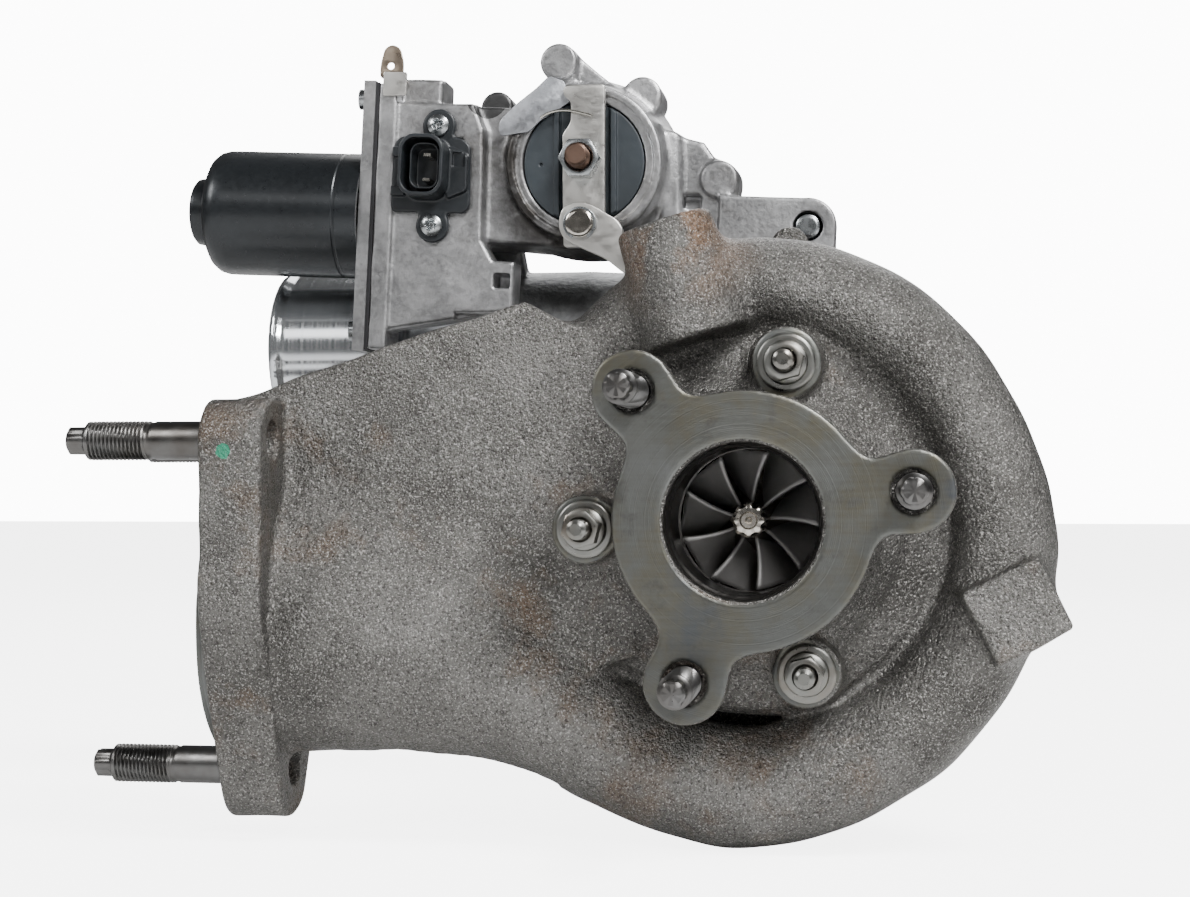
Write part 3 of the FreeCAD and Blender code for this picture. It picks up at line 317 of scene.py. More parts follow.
def cast_iron_material():
    mat, tree, shader = new_material("cast_iron_rough")
    n = Nodes(tree)
    grain = n.noise(1050, 3, 0.7)
    specks = n.noise(1700, 2, 0.6)
    broad = n.noise(28, 4, 0.6)
    rusty = n.noise(17, 5, 0.7)
    colour = n.ramp(broad, [(0.32, (0.095, 0.092, 0.086)), (0.68, (0.215, 0.210, 0.198))])
    colour = n.mix(n.ramp(rusty, [(0.58, 0.0), (0.74, 0.6)]), colour, (0.20, 0.115, 0.06))
    burnt = n.math("MULTIPLY", n.ramp(n.away((-0.022, 0.02, 0.088), False), [(0.010, 1.0), (0.030, 0.0)]), 0.55)
    colour = n.mix(n.math("MULTIPLY", burnt, n.ramp(n.noise(60, 3, 0.6), [(0.42, 0.0), (0.6, 1.0)])), colour, (0.30, 0.16, 0.08))
    colour = n.mix(n.ramp(grain, [(0.35, 0.70), (0.50, 0.0)]), colour, (0.035, 0.033, 0.031))
    sparkle = n.ramp(specks, [(0.55, 0.0), (0.67, 1.0)])
    colour = n.mix(n.math("MULTIPLY", sparkle, 0.62), colour, (0.62, 0.60, 0.57))
    dot = n.math("LESS_THAN", n.math("ADD", n.away((-0.1540, 0.0025, 0.0205), False), n.math("MULTIPLY", n.noise(500, 2), 0.0016)), 0.0030)
    colour = n.mix(n.math("MULTIPLY", dot, 0.85), colour, (0.05, 0.33, 0.20))
    # machined faces: outlet flange, nut seats, inlet flange and the bore
    y = n.axis(1)
    seat = n.math("LESS_THAN", y, 0.0003)
    inlet = n.math("LESS_THAN", n.axis(0), -0.16165)
    near = None
    for angle in (75.8, 182.9, 291.6):
        a = math.radians(angle)
        d = n.away((0.0474 * math.cos(a), 0, 0.0474 * math.sin(a)))
        near = d if near is None else n.math("MINIMUM", near, d)
    nut = n.math("MULTIPLY", n.math("LESS_THAN", near, 0.0102), n.math("LESS_THAN", y, 0.01635))
    radius = n.away((0, 0, 0))
    bore = n.math("MULTIPLY", n.math("LESS_THAN", radius, 0.0228), n.math("LESS_THAN", y, 0.055))
    done = n.math("MAXIMUM", n.math("MAXIMUM", seat, inlet), n.math("MAXIMUM", nut, bore))
    brush = n.noise(60, 2, 0.5, n.add("ShaderNodeVectorMath", {0: n.coords, 1: (1.0, 1.0, 14.0)}, operation="MULTIPLY").outputs[0])
    rings = n.add("ShaderNodeTexNoise", {"W": n.math("MULTIPLY", radius, 2600.0), "Scale": 1.0, "Detail": 1.0}, noise_dimensions="1D").outputs["Fac"]
    tint = n.ramp(n.noise(26, 5, 0.65), [(0.34, (0.185, 0.190, 0.185)), (0.48, (0.150, 0.152, 0.138)), (0.56, (0.150, 0.140, 0.105)), (0.68, (0.105, 0.112, 0.118))])
    face = n.mix(n.ramp(brush, [(0.3, 0.0), (0.7, 0.3)]), tint, (0.21, 0.215, 0.205))
    # painted shade: the machined faces are darkened towards the bottom
    low = n.ramp(n.math("ADD", n.axis(2), 0.055), [(0.0, 0.5), (0.085, 0.0)])
    face = n.mix(low, face, (0.085, 0.090, 0.092))
    smudge = n.ramp(n.noise(75, 5, 0.7), [(0.56, 0.0), (0.70, 0.55)])
    face = n.mix(smudge, face, (0.075, 0.075, 0.070))
    # painted shade: the inside of the bore is made near black
    face = n.mix(n.math("MULTIPLY", bore, 0.9), face, (0.045, 0.042, 0.040))
    n.link(n.mix(done, colour, face), shader.inputs["Base Color"])
    rough = n.mix(done, n.ramp(grain, [(0.3, 0.50), (0.7, 0.29)]), n.ramp(rings, [(0.3, 0.34), (0.7, 0.46)]))
    n.link(rough, shader.inputs["Roughness"])
    shader.inputs["Metallic"].default_value = 0.92
    height = n.math("ADD", grain, n.math("MULTIPLY", n.noise(420, 2, 0.6), 0.8))
    height = n.math("MULTIPLY", height, n.math("SUBTRACT", 1.0, n.math("MULTIPLY", done, 0.97)))
    height = n.math("ADD", height, n.math("MULTIPLY", n.math("MULTIPLY", rings, done), 0.05))
    n.link(n.bump(height, 0.00085, 1.0), shader.inputs["Normal"])
    return mat


def aluminium_material(name, tone, dirt, grain_scale=700, rough=(0.34, 0.5), bump=0.00012, turned_end=None, dark_spot=None):
    mat, tree, shader = new_material(name)
    n = Nodes(tree)
    broad = n.noise(36, 4, 0.6)
    fine = n.noise(grain_scale, 3, 0.6)
    light = tuple(v * 1.22 for v in tone)
    dark = tuple(v * 0.62 for v in tone)
    colour = n.ramp(broad, [(0.36, dark), (0.62, light)])
    mottle = n.ramp(n.noise(170, 4, 0.7), [(0.40, 0.45), (0.58, 0.0)])
    colour = n.mix(mottle, colour, tuple(v * 0.5 for v in tone))
    stain = n.ramp(n.noise(23, 6, 0.72), [(0.52, 0.0), (0.74, dirt)])
    colour = n.mix(stain, colour, (0.13, 0.115, 0.10))
    colour = n.mix(n.ramp(fine, [(0.4, 0.0), (0.75, 0.3)]), colour, tuple(min(1, v * 1.25) for v in tone))
    fine_rough = n.ramp(fine, [(0.3, rough[0]), (0.7, rough[1])])
    height = n.math("ADD", fine, n.math("MULTIPLY", n.noise(130, 3, 0.6), 0.9))
    if turned_end is not None:
        # the outlet tube is turned bright all over
        end = n.math("LESS_THAN", n.axis(0), turned_end)
        lines = n.add("ShaderNodeTexNoise", {"W": n.math("MULTIPLY", n.axis(0), 900.0), "Scale": 1.0, "Detail": 3.0}, noise_dimensions="1D").outputs["Fac"]
        colour = n.mix(end, colour, n.ramp(lines, [(0.35, (0.78, 0.81, 0.84)), (0.65, (0.90, 0.92, 0.94))]))
        fine_rough = n.mix(end, fine_rough, n.ramp(lines, [(0.3, 0.10), (0.7, 0.20)]))
        height = n.math("MULTIPLY", height, n.math("SUBTRACT", 1.0, n.math("MULTIPLY", end, 0.98)))
    if dark_spot is not None:
        spot_at, spot_r = dark_spot
        # grease and dirt, with painted shade, round the output shaft's collar, mostly at its left and below
        reach = n.away((-0.0585, 0.0, 0.1171))
        collar = n.ramp(reach, [(0.0200, 0.0), (0.0212, 1.0), (0.0270, 0.9), (0.0400, 0.0)])
        side = n.ramp(n.math("ADD", n.axis(0), n.axis(2)), [(0.045, 1.0), (0.075, 0.0)])
        patch = n.ramp(n.noise(95, 4, 0.65), [(0.38, 0.45), (0.54, 1.0)])
        grime_and_shade = n.math("MULTIPLY", n.math("MULTIPLY", collar, side), patch)
        colour = n.mix(n.math("MULTIPLY", grime_and_shade, 0.97), colour, (0.030, 0.026, 0.022))
        inside = n.math("LESS_THAN", n.away(spot_at), spot_r)
        colour = n.mix(n.math("MULTIPLY", inside, 0.85), colour, (0.045, 0.045, 0.045))
    n.link(colour, shader.inputs["Base Color"])
    n.link(fine_rough, shader.inputs["Roughness"])
    shader.inputs["Metallic"].default_value = 0.9
    n.link(n.bump(height, bump), shader.inputs["Normal"])
    return mat


def steel_material(name, tone, rough=0.3, scratch=(1.0, 1.0, 1.0), tint=None, spread=0.12, bump=0.00004, metallic=1.0):
    mat, tree, shader = new_material(name)
    n = Nodes(tree)
    stretched = n.add("ShaderNodeVectorMath", {0: n.coords, 1: scratch}, operation="MULTIPLY").outputs[0]
    lines = n.noise(260, 3, 0.6, stretched)
    broad = n.noise(70, 3, 0.6)
    colour = n.ramp(broad, [(0.3, tuple(v * (1 - spread) for v in tone)), (0.7, tuple(min(1, v * (1 + spread)) for v in tone))])
    if tint is not None:
        colour = n.mix(n.ramp(n.noise(45, 4, 0.65), [(0.48, 0.0), (0.72, 0.75)]), colour, tint)
    n.link(colour, shader.inputs["Base Color"])
    n.link(n.ramp(lines, [(0.25, max(rough - 0.08, 0.02)), (0.75, rough + 0.1)]), shader.inputs["Roughness"])
    shader.inputs["Metallic"].default_value = metallic
    n.link(n.bump(lines, bump), shader.inputs["Normal"])
    return mat


def black_material(name, tone, rough, metallic=0.0, bump=0.00003, scale=600, coat=0.0):
    mat, tree, shader = new_material(name)
    n = Nodes(tree)
    fine = n.noise(scale, 2, 0.5)
    colour = n.ramp(n.noise(40, 4, 0.6), [(0.3, tuple(v * 0.8 for v in tone)), (0.7, tuple(v * 1.25 for v in tone))])
    n.link(colour, shader.inputs["Base Color"])
    n.link(n.ramp(fine, [(0.3, rough - 0.05), (0.7, rough + 0.08)]), shader.inputs["Roughness"])
    shader.inputs["Metallic"].default_value = metallic
    if coat:
        shader.inputs["Coat Weight"].default_value = coat
        shader.inputs["Coat Roughness"].default_value = 0.25
    n.link(n.bump(fine, bump), shader.inputs["Normal"])
    return mat


MAT = {
    "cast_iron": cast_iron_material(),
    "iron_core": steel_material("cast_iron_core", (0.20, 0.19, 0.18), 0.5, bump=0.0003),
    "stud": steel_material("stud_steel", (0.17, 0.168, 0.165), 0.33, tint=(0.11, 0.10, 0.09)),
    "clamp_nut": steel_material("clamp_nut_steel", (0.25, 0.25, 0.235), 0.32, tint=(0.22, 0.18, 0.14)),
    "wheel": steel_material("turbine_wheel_alloy", (0.44, 0.43, 0.42), 0.52, bump=0.00008, metallic=0.6),
    "hub_end": steel_material("hub_end_ground", (0.62, 0.58, 0.52), 0.16),
    "nickel": steel_material("nozzle_steel", (0.30, 0.285, 0.27), 0.38),
    "steel": steel_material("machined_steel", (0.55, 0.54, 0.53), 0.28),
    "bronze": steel_material("bearing_bronze", (0.62, 0.42, 0.18), 0.3),
    "die_cast": aluminium_material("die_cast_aluminium", (0.46, 0.46, 0.465), 0.9, dark_spot=((-0.09147, 0.0, 0.13968), 0.0066)),
    "sand_aluminium": aluminium_material("sand_cast_aluminium", (0.36, 0.365, 0.37), 0.35, 520, (0.36, 0.52), 0.0002, turned_end=-0.1),
    "turned_aluminium": steel_material("turned_aluminium", (0.86, 0.87, 0.88), 0.16, scratch=(6.0, 0.4, 0.4)),
    "wheel_aluminium": steel_material("milled_aluminium", (0.72, 0.73, 0.74), 0.22),
    "gasket": black_material("gasket_rubber", (0.018, 0.018, 0.02), 0.6),
    "bright": steel_material("stamped_steel", (0.72, 0.705, 0.67), 0.34, scratch=(1.0, 1.0, 2.0), spread=0.07, bump=0.000015),
    "zinc": steel_material("zinc_plate", (0.43, 0.45, 0.46), 0.26, tint=(0.36, 0.38, 0.38)),
    "spangle": aluminium_material("zinc_spangle", (0.62, 0.64, 0.68), 0.45, 380, (0.28, 0.5), 0.0002),
    "spring": steel_material("spring_steel_brown", (0.40, 0.33, 0.26), 0.3, tint=(0.30, 0.23, 0.16)),
    "shaft_end": steel_material("shaft_end_brown", (0.19, 0.125, 0.095), 0.45, tint=(0.26, 0.19, 0.15)),
    "motor": black_material("motor_black_paint", (0.018, 0.021, 0.024), 0.32, metallic=0.5, coat=0.35),
    "magnet": black_material("sintered_magnet", (0.12, 0.12, 0.13), 0.6, metallic=0.5),
    "plastic": black_material("moulded_black_plastic", (0.016, 0.019, 0.022), 0.38, bump=0.00005),
    "disc": black_material("moulded_disc_grey", (0.033, 0.041, 0.048), 0.42, bump=0.00005, scale=260),
    "brass": steel_material("terminal_tin", (0.70, 0.68, 0.62), 0.2),
}


def paint(obj, key):
    mats = obj.data.materials
    mats.clear()
    mats.append(MAT[key])


def piece(obj, body, slot, key, *replaced):
    paint(obj, key)
    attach(obj, body)
    if replaced:
        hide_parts(*replaced)
    return obj


# ---------------------------------------------------------------- turbine housing
SCROLL = smooth_law((
    (-126, 80.5, 19.0), (-108, 80.3, 18.4), (-91, 80.5, 18.2), (-66, 77.5, 17.4), (-43, 75.8, 16.8),
    (-26, 74.8, 16.4), (-8, 74.7, 16.2), (6, 72.6, 15.9), (30, 70.0, 15.4), (59, 71.0, 14.8),
    (91, 71.3, 14.0), (112, 70.4, 13.2), (133, 68.5, 12.5), (160, 64.5, 10.5), (185, 61.5, 8.5), (205, 59.5, 6.8)), 6)
DUCT = smooth_law((
    (-162, -31, 41.5, 29), (-144, -31, 41.5, 29.0), (-126, -31, 41.0, 28.0), (-106.6, -33.6, 37.7, 26.0),
    (-87.2, -43.6, 29.3, 23.5), (-73.2, -50.6, 24.1, 21.2), (-60.8, -57.3, 21.1, 19.8), (-47.3, -65.1, 19.2, 19.0)), 3)
CLAMPS = [(47.4 * math.cos(math.radians(a)), 47.4 * math.sin(math.radians(a))) for a in (75.8, 182.9, 291.6)]
OUTLET_STUDS = [(48.8 * math.cos(math.radians(a)), 48.8 * math.sin(math.radians(a))) for a in (10.2, 130.2, 250.2)]
INLET_STUDS = ((15.0, 24.0, 12.5), (66.0, 24.0, 13.5), (38.0, -77.0, 15.5))
CRANK = (60 * math.cos(math.radians(111.4)), 60 * math.sin(math.radians(111.4)))


def turbine_housing():
    g = Grid((-165, -3, -103), (96, 86, 97), 0.8)
    x, y, z = g.x, g.y, g.z
    body = g.spiral(SCROLL, 40)
    body = blend(body, g.swept(DUCT, 40), 3.0)
    core = g.turned([(0, 6), (33.8, 6), (34.3, 14), (39.5, 22), (46.5, 29), (56, 33), (58.5, 36), (58.5, 62), (0, 62)])
    body = blend(body, core, 5.0)
    web = polygon(x, z, [(-158, 36.8), (-143, 42.3), (-101, 56.3), (-76, 63.8), (-68, 66), (-60, 62), (-50, 56), (-40, 30), (-34, -40),
                         (-58, -48), (-100, -20), (-130, -10), (-158, -10)])
    body = blend(body, slab(web, y, 27.5, 37, 1.5), 6.5)
    # inlet flange
    flange = circle(y, z, 42, -18, 39.8)
    for cy, cz, r in INLET_STUDS:
        flange = blend(flange, circle(y, z, cy, cz, r), 2.0)
    hull = polygon(y, z, [(9.0, 34.5), (15, 36.3), (66, 37.3), (74.0, 33.5), (79.0, 22.0), (80.3, -4), (53.0, -81.0),
                          (38, -92.2), (23.0, -81.0), (6.0, -36.0), (2.8, -12), (2.8, 24)])
    flange = np.minimum(flange, hull)
    body = blend(body, slab(flange, x, -162, -142.5, 1.6), 3.5)
    # bosses
    lean = math.radians(16.4)
    foot = (-15.5, 29.5, 54.0)
    tip = (-15.5 - 36.3 * math.sin(lean), 29.5, 54.0 + 36.3 * math.cos(lean))
    body = blend(body, g.rod(foot, tip, 16.2, 14.4, 1.2), 7.0)
    body = blend(body, g.box((77.6, 30, -25.9), (12.5, 10.8, 11.8), 27.6, 1.6), 4.0)
    body = blend(body, slab(bar(x, z, (11.3, 78), (11.3, 84), 5.8), y, 46, 56, 1.5), 3.0)
    for cx, cz in CLAMPS:
        body = blend(body, slab(circle(x, z, cx, cz, 10.3), y, 16, 34, 0.8), 5.0)
    rear = blend(circle(x, z, 0, 0, 65.8), circle(x, z, CRANK[0], CRANK[1], 14.8), 6.0)
    body = blend(body, slab(rear, y, 56, 66, 0.6), 3.0)
    body = body + ripple(g, 26, 0.22, 5)
    # outlet flange stays true and crisp
    plate = circle(x, z, 0, 0, 37.5)
    for cx, cz in OUTLET_STUDS:
        plate = blend(plate, circle(x, z, cx, cz, 12.0), 12.5)
    body = blend(body, slab(plate, y, 0.0, 10.0, 0.7), 2.0)
    # hollows
    for cut in (g.spiral(SCROLL, 40, 4.0), g.swept([(-166, -31, 39, 26.5)] + DUCT[2:], 40, 3.6)):
        body = carve(body, cut, 0.8)
    throat = np.interp((np.degrees(np.arctan2(z, x)) + 126) % 360 - 126, [a for a, c, t in SCROLL], [c for a, c, t in SCROLL])
    body = carve(body, np.maximum(slab(g.r - throat, y, 48.2, 55.4), 50 - g.r))
    body = carve(body, slab(g.r - 22.3, y, -9, 8))
    body = carve(body, slab(g.r - 22.9 - (1.2 - np.minimum(y, 1.2)) * 0.6, y, -9, 0.9))
    body = carve(body, slab(g.r - 21.3, y, -9, 50))
    body = carve(body, slab(g.r - 25.1, y, 30, 60))
    body = carve(body, slab(g.r - 52.1, y, 44, 80))
    body = carve(body, slab(circle(x, z, CRANK[0], CRANK[1], 10.6), y, 60, 80))
    for cx, cz in CLAMPS:
        body = carve(body, slab(circle(x, z, cx, cz, 3.15), y, -9, 50))
    for cx, cz in OUTLET_STUDS:
        body = carve(body, slab(circle(x, z, cx, cz, 5.05), y, -9, 12))
        body = carve(body, slab(circle(x, z, cx, cz, 6.3), y, -9, 1.5), 0.25)
    for cy, cz, r in INLET_STUDS:
        body = carve(body, slab(circle(y, z, cy, cz, 6.05), x, -170, -140))
    for k in range(6):
        a = math.radians(21.4 + 60 * k)
        body = carve(body, slab(circle(x, z, 59.5 * math.cos(a), 59.5 * math.sin(a), 3.05), y, 57, 80))
    return mesh_field("turbine_casting", g, body)


piece(turbine_housing(), "housings", "cast_iron", "cast_iron", "turbine_housing")


# ---------------------------------------------------------------- actuator case
TILT = math.radians(2.7)
SHAFT = np.array([-58.5, 4.2, 117.1])


def actuator_place(points):
    """From the actuator's own frame to the part's."""
    c, s = math.cos(TILT), math.sin(TILT)
    out = np.empty_like(points)
    out[:, 0] = points[:, 0] * c + points[:, 2] * s
    out[:, 1] = points[:, 1]
    out[:, 2] = -points[:, 0] * s + points[:, 2] * c
    return out + SHAFT


STOP = [(-12.8, 28.3), (-7.6, 26.5), (-5.2, 19.9), (-8.2, 17.8), (-15.2, 13.2), (-18.5, 9.6), (-28.2, 7.9), (-29.0, 10.6),
        (-28.4, 13.4), (-22.7, 19.3), (-17.0, 24.0)]


def actuator_case():
    g = Grid((-73, 76, -68), (87, 125, 43), 0.6)
    x, y, z = g.x, g.y, g.z
    ring = slab(circle(x, z, 0, 0, 26.0), y, 79, 100, 0.8)
    flank = g.rod((0, 100, 0), (0, 82, 0), 31.0, 26.0, 0.5)
    body = blend(ring, flank, 2.0)
    case = polygon(x, z, [(-64, -25), (12, -29), (24, -13), (24, 14), (-30, 18.5), (-64, 18.5)])
    body = blend(body, slab(case, y, 83.2, 112, 1.5), 3.0)
    face = polygon(x, z, [(-66, -58), (-38, -53), (-21.5, -50), (-21.5, -33.5), (-29, -33.5), (-33, -27), (-34, 10), (-38, 18.8), (-66, 18.8)])
    body = blend(body, slab(face, y, 79, 92, 1.2), 2.5)
    rim = polygon(x, z, [(-70.0, -64.3), (-64, -64.3), (-64, 24.8), (-70.0, 24.8)])
    body = blend(body, slab(rim, y, 78, 97, 0.5), 1.5)
    upper = polygon(x, z, [(-70.0, -29.5), (-64, -29.5), (-64, 24.8), (-70.0, 24.8)])
    body = blend(body, slab(upper, y, 94, 122, 0.6), 1.5)
    rear = polygon(x, z, [(-66, -26.8), (-28, -26.8), (-28, 18.8), (-66, 18.8)])
    body = blend(body, slab(rear, y, 90, 114, 1.5), 2.0)
    # bosses and ribs
    body = blend(body, slab(circle(x, z, -10.6, 33.7, 6.2), y, 82, 104, 0.8), 2.0)
    body = blend(body, slab(bar(x, z, (-10.6, 33.7), (-6, 22), 4.0), y, 84.5, 104, 1.0), 2.5)
    body = blend(body, slab(bar(x, z, (-8.2, 36.0), (12, 20.5), 2.6), y, 86, 104, 1.0), 2.0)
    body = blend(body, slab(bar(x, z, (17.2, 24.0), (10, 14), 6.6), y, 88, 108, 1.2), 2.5)
    shoulder = polygon(x, z, [(10, 18), (28, 11.3), (38.7, 8.9), (42.3, 4.2), (50.3, -1), (51, -26), (20, -26)])
    body = blend(body, slab(shoulder, y, 87.5, 104, 1.6), 3.0)
    body = blend(body, slab(circle(x, z, 44.5, -3.5, 6.2), y, 85.5, 104, 1.0), 2.0)
    body = blend(body, slab(bar(x, z, (27.5, 9), (29.5, -22), 3.2), y, 85.5, 95, 1.5), 3.0)
    arm = np.minimum(polygon(x, z, [(45, -9.0), (76, -9.2), (83.6, -18), (83.6, -27.6), (45, -24.5)]), circle(x, z, 74.3, -18.4, 9.4))
    body = blend(body, slab(arm, y, 84.2, 92, 0.8), 2.0)
    hook = polygon(x, z, [(-64, 17), (-50.2, 17), (-50.2, 28), (-64, 28)])
    body = blend(body, slab(hook, y, 86, 104, 1.6), 1.5)
    body = blend(body, slab(circle(x, z, -34.0, 21.0, 5.6), y, 98, 112, 1.2), 2.0)
    body = body + ripple(g, 18, 0.07, 9)
    # recesses
    body = carve(body, slab(circle(x, z, 0, 0, 20.5), y, 70, 83.4), 0.5)
    body = carve(body, slab(g.r - 23.2, y, 70, 79.9), 0.4)
    pocket = polygon(x, z, [(-17 + (u + 17) * 1.05, 17.5 + (w - 17.5) * 1.05) for u, w in STOP])
    body = carve(body, slab(pocket, y, 70, 79.5), 0.2)
    body = carve(body, g.box((0, 97.2, -6.5), (14.5, 11.7, 18.4)))
    body = carve(body, g.box((-42, 97.2, -6.5), (28.6, 11.7, 18.4)))
    body = carve(body, slab(g.r - 5.05, y, 60, 125))
    body = carve(body, g.rod((10, 95, -18), (19.2, 95, -18), 4.05))
    body = carve(body, g.box((35.6, 84, -10.9), (3.0, 9.0, 2.3), 0, 0.4))
    body = carve(body, g.box((-25.6, 80, -40), (2.7, 9.0, 2.4), 0, 0.3))
    body = carve(body, slab(circle(x, z, 74.3, -18.4, 4.9), y, 70, 99))
    body = carve(body, g.box((-49.5, 78, -4), (8.5, 8.0, 11)))
    for u, w in ((-48.7, 10.6), (-49.5, -22.7)):
        body = carve(body, slab(circle(x, z, u, w, 2.0), y, 70, 89))
    body = carve(body, slab(circle(x, z, -36.0, -18.9, 3.0), y, 109.5, 125))
    # step along the bottom right of the connector side
    body = carve(body, slab(polygon(x, z, [(-41, -60), (-41, -51.2), (-20, -50.3), (-20, -60)]), y, 70, 81.2), 0.4)
    return mesh_field("actuator_case", g, body, actuator_place)


piece(actuator_case(), "housings", "cast_aluminium", "die_cast", "actuator_housing")


# ---------------------------------------------------------------- compressor housing
def compressor_housing():
    g = Grid((-176, 93, -69), (78, 181, 111), 1.0)
    x, y, z = g.x, g.y, g.z
    law = [(150 + 30 * k, 45.5 + 1.3 * k, 8.5 + 1.55 * k) for k in range(11)]
    turn = [(math.radians(a), c, t) for a, c, t in law]
    volute = g.spiral(law[:10], 131, 0, 150)
    tail = [(c * math.cos(a), c * math.sin(a), t, t) for a, c, t in turn[9:]]
    tail += [(-26, 58.5, 25.0, 25.0), (-48, 58.5, 26.6, 26.6), (-64, 58.5, 27.4, 27.4)]
    tail = smooth_law(tail, 4)
    body = blend(volute, g.swept(tail, 131), 3.0)
    cover = g.turned([(0, 104), (64.5, 104), (64.5, 117), (52, 129), (38, 137), (31.5, 147), (30, 152), (30, 178), (0, 178)])
    body = blend(body, cover, 5.0)
    body = blend(body, slab(bar(x, z, (14.85, 95.2), (8, 70), 8.3), y, 96.2, 114, 1.2), 5.0)
    body = blend(body, slab(bar(x, z, (-95.35, 99.9), (-90, 72), 7.8), y, 118.3, 128, 1.0), 3.0)
    body = body + ripple(g, 24, 0.1, 3)
    body = np.minimum(body, g.rod((-173, 131, 58.5), (-60, 131, 58.5), 27.4, 27.4, 0.6))
    body = blend(body, g.rod((-172.2, 131, 58.5), (-168.6, 131, 58.5), 28.4, 28.4, 1.4), 0.8)
    body = blend(body, slab(g.r - 32, y, 172, 176, 1.2), 1.0)
    body = carve(body, g.swept(tail[2:], 131, 3.7))
    body = carve(body, g.spiral(law[:10], 131, 3.7, 150))
    body = carve(body, g.rod((-176, 131, 58.5), (-60, 131, 58.5), 24.4))
    body = carve(body, g.turned([(0, 90), (54.1, 90), (54.1, 119.5), (47, 119.5), (47, 123.4), (28.9, 123.4), (24.7, 125.3),
                                 (21.8, 129.2), (20.3, 134.2), (20.3, 150), (24.5, 165), (26.5, 182), (0, 182)]))
    body = carve(body, slab(circle(x, z, 14.85, 95.2, 4.0), y, 90, 112))
    body = carve(body, slab(circle(x, z, -95.35, 99.9, 3.0), y, 100, 140))
    return mesh_field("compressor_casting", g, body)


piece(compressor_housing(), "housings", "cast_aluminium", "sand_aluminium", "compressor_housing")

SKIN = {
    "outlet_studs": "stud", "inlet_studs": "stud", "clamp_studs": "clamp_nut", "clamp_nuts": "clamp_nut", "clamp_washers": "clamp_nut",
    "joint_bolts": "clamp_nut", "bearing_housing": "iron_core", "turbine_wheel": "wheel", "compressor_wheel": "wheel_aluminium",
    "crank_shaft": "steel", "crank_arm": "bright", "shaft_nut": "steel", "thrust_collar": "steel", "compressor_clamp_plates": "steel",
    "compressor_bolts": "zinc", "output_shaft": "shaft_end", "drive_fork": "steel", "lever_pin": "bright", "link_clip": "steel",
    "lever_wire": "brass", "bushes": "bronze", "thrust_bearing": "bronze", "drive_nut": "bronze", "compressor_backplate": "sand_aluminium",
    "actuator_cover": "die_cast", "actuator_gasket": "gasket", "control_lever": "bright", "link_plate": "bright", "lever_nut": "zinc",
    "stop_plate": "spangle", "connector_screws": "zinc", "cover_screws": "zinc", "actuator_bolts": "zinc", "connector_terminals": "brass",
    "cover_clip": "spring", "motor_case": "motor", "motor_armature": "nickel", "motor_magnets": "magnet", "connector_body": "plastic",
    "shaft_cover": "disc",
}

# ---------------------------------------------------------------- turned and threaded pieces
TURN = np.linspace(0, 2 * math.pi, 73)[:-1]
ACTUATOR = Matrix.Translation(Vector(SHAFT * MM)) @ Matrix.Rotation(TILT, 4, "Y")
ALONG_Y = Matrix.Identity(4)


def spot(x=0.0, y=0.0, z=0.0):
    return Matrix.Translation(Vector((x, y, z)) * MM)


def along_x(x=0.0, y=0.0, z=0.0):
    """Rows run towards -X from this point."""
    return spot(x, y, z) @ Matrix.Rotation(math.pi / 2, 4, "Z")


def shell(rows, closed=False, turn=TURN):
    """Points and faces of rows of (along, radius) round an axis; either may vary round it."""
    m = len(turn)
    points = np.zeros((len(rows), m, 3))
    for i, (along, radius) in enumerate(rows):
        points[i, :, 0] = radius * np.cos(turn)
        points[i, :, 1] = along
        points[i, :, 2] = radius * np.sin(turn)
    index = np.arange(len(rows) * m).reshape(len(rows), m)
    if closed:
        index = np.vstack([index, index[:1]])
    nxt = np.roll(index, -1, axis=1)
    quads = np.stack([index[:-1], index[1:], nxt[1:], nxt[:-1]], axis=-1).reshape(-1, 4)
    return points.reshape(-1, 3), quads


def put(name, parts, sharp=38.0):
    """One piece from several (points, quads, place) shells."""
    points, quads, base = [], [], 0
    for p, q, place in parts:
        m = np.array(place)
        points.append(p * MM @ m[:3, :3].T + m[:3, 3])
        quads.append(q + base)
        base += len(p)
    obj = mesh_of(name, np.concatenate(points), np.concatenate(quads))
    work = bmesh.new()
    work.from_mesh(obj.data)
    bmesh.ops.remove_doubles(work, verts=work.verts, dist=1e-7)
    bmesh.ops.recalc_face_normals(work, faces=work.faces)
    work.to_mesh(obj.data)
    work.free()
    obj.data.set_sharp_from_angle(angle=math.radians(sharp))
    return obj


def lathe(rows, place=ALONG_Y, closed=False):
    if not closed:
        rows = [(rows[0][0], 1e-6)] + list(rows) + [(rows[-1][0], 1e-6)]
    return (*shell(rows, closed), place)


def thread(start, end, r, pitch, depth=0.6, per=8):
    """Rows of a screw thread, faded at both ends."""
    rows = []
    count = int((end - start) / pitch * per)
    for i in range(count + 1):
        at = start + (end - start) * i / count
        phase = (at / pitch - TURN / (2 * math.pi)) % 1.0
        fade = min(1.0, (at - start) / pitch, (end - at) / pitch)
        rows.append((at, r - depth * pitch * fade * np.abs(phase * 2 - 1) ** 1.3 - 0.12 * (1 - fade)))
    return rows


def hexagon(across, turn=0.0):
    a = (TURN - math.radians(turn)) % (math.pi / 3) - math.pi / 6
    return across / 2 / np.cos(a)


def nut(across, y0, y1, bore, place, turn=0.0, front=True):
    flat = hexagon(across, turn)
    rc = across / 2 * 0.99
    slope = (flat - rc) * 0.58
    rows = [(y0 + 0.8, bore), (y0, bore + 0.75), (y0, rc), (y0 + slope, flat)]
    rows += [(y1 - (0 if front else slope), flat)]
    if not front:
        rows.append((y1, rc))
    rows.append((y1, bore))
    return lathe(rows, place, True)


def star(r, depth, count, turn=0.0):
    return r - depth * (0.5 - 0.5 * np.cos(count * (TURN - turn))) ** 2


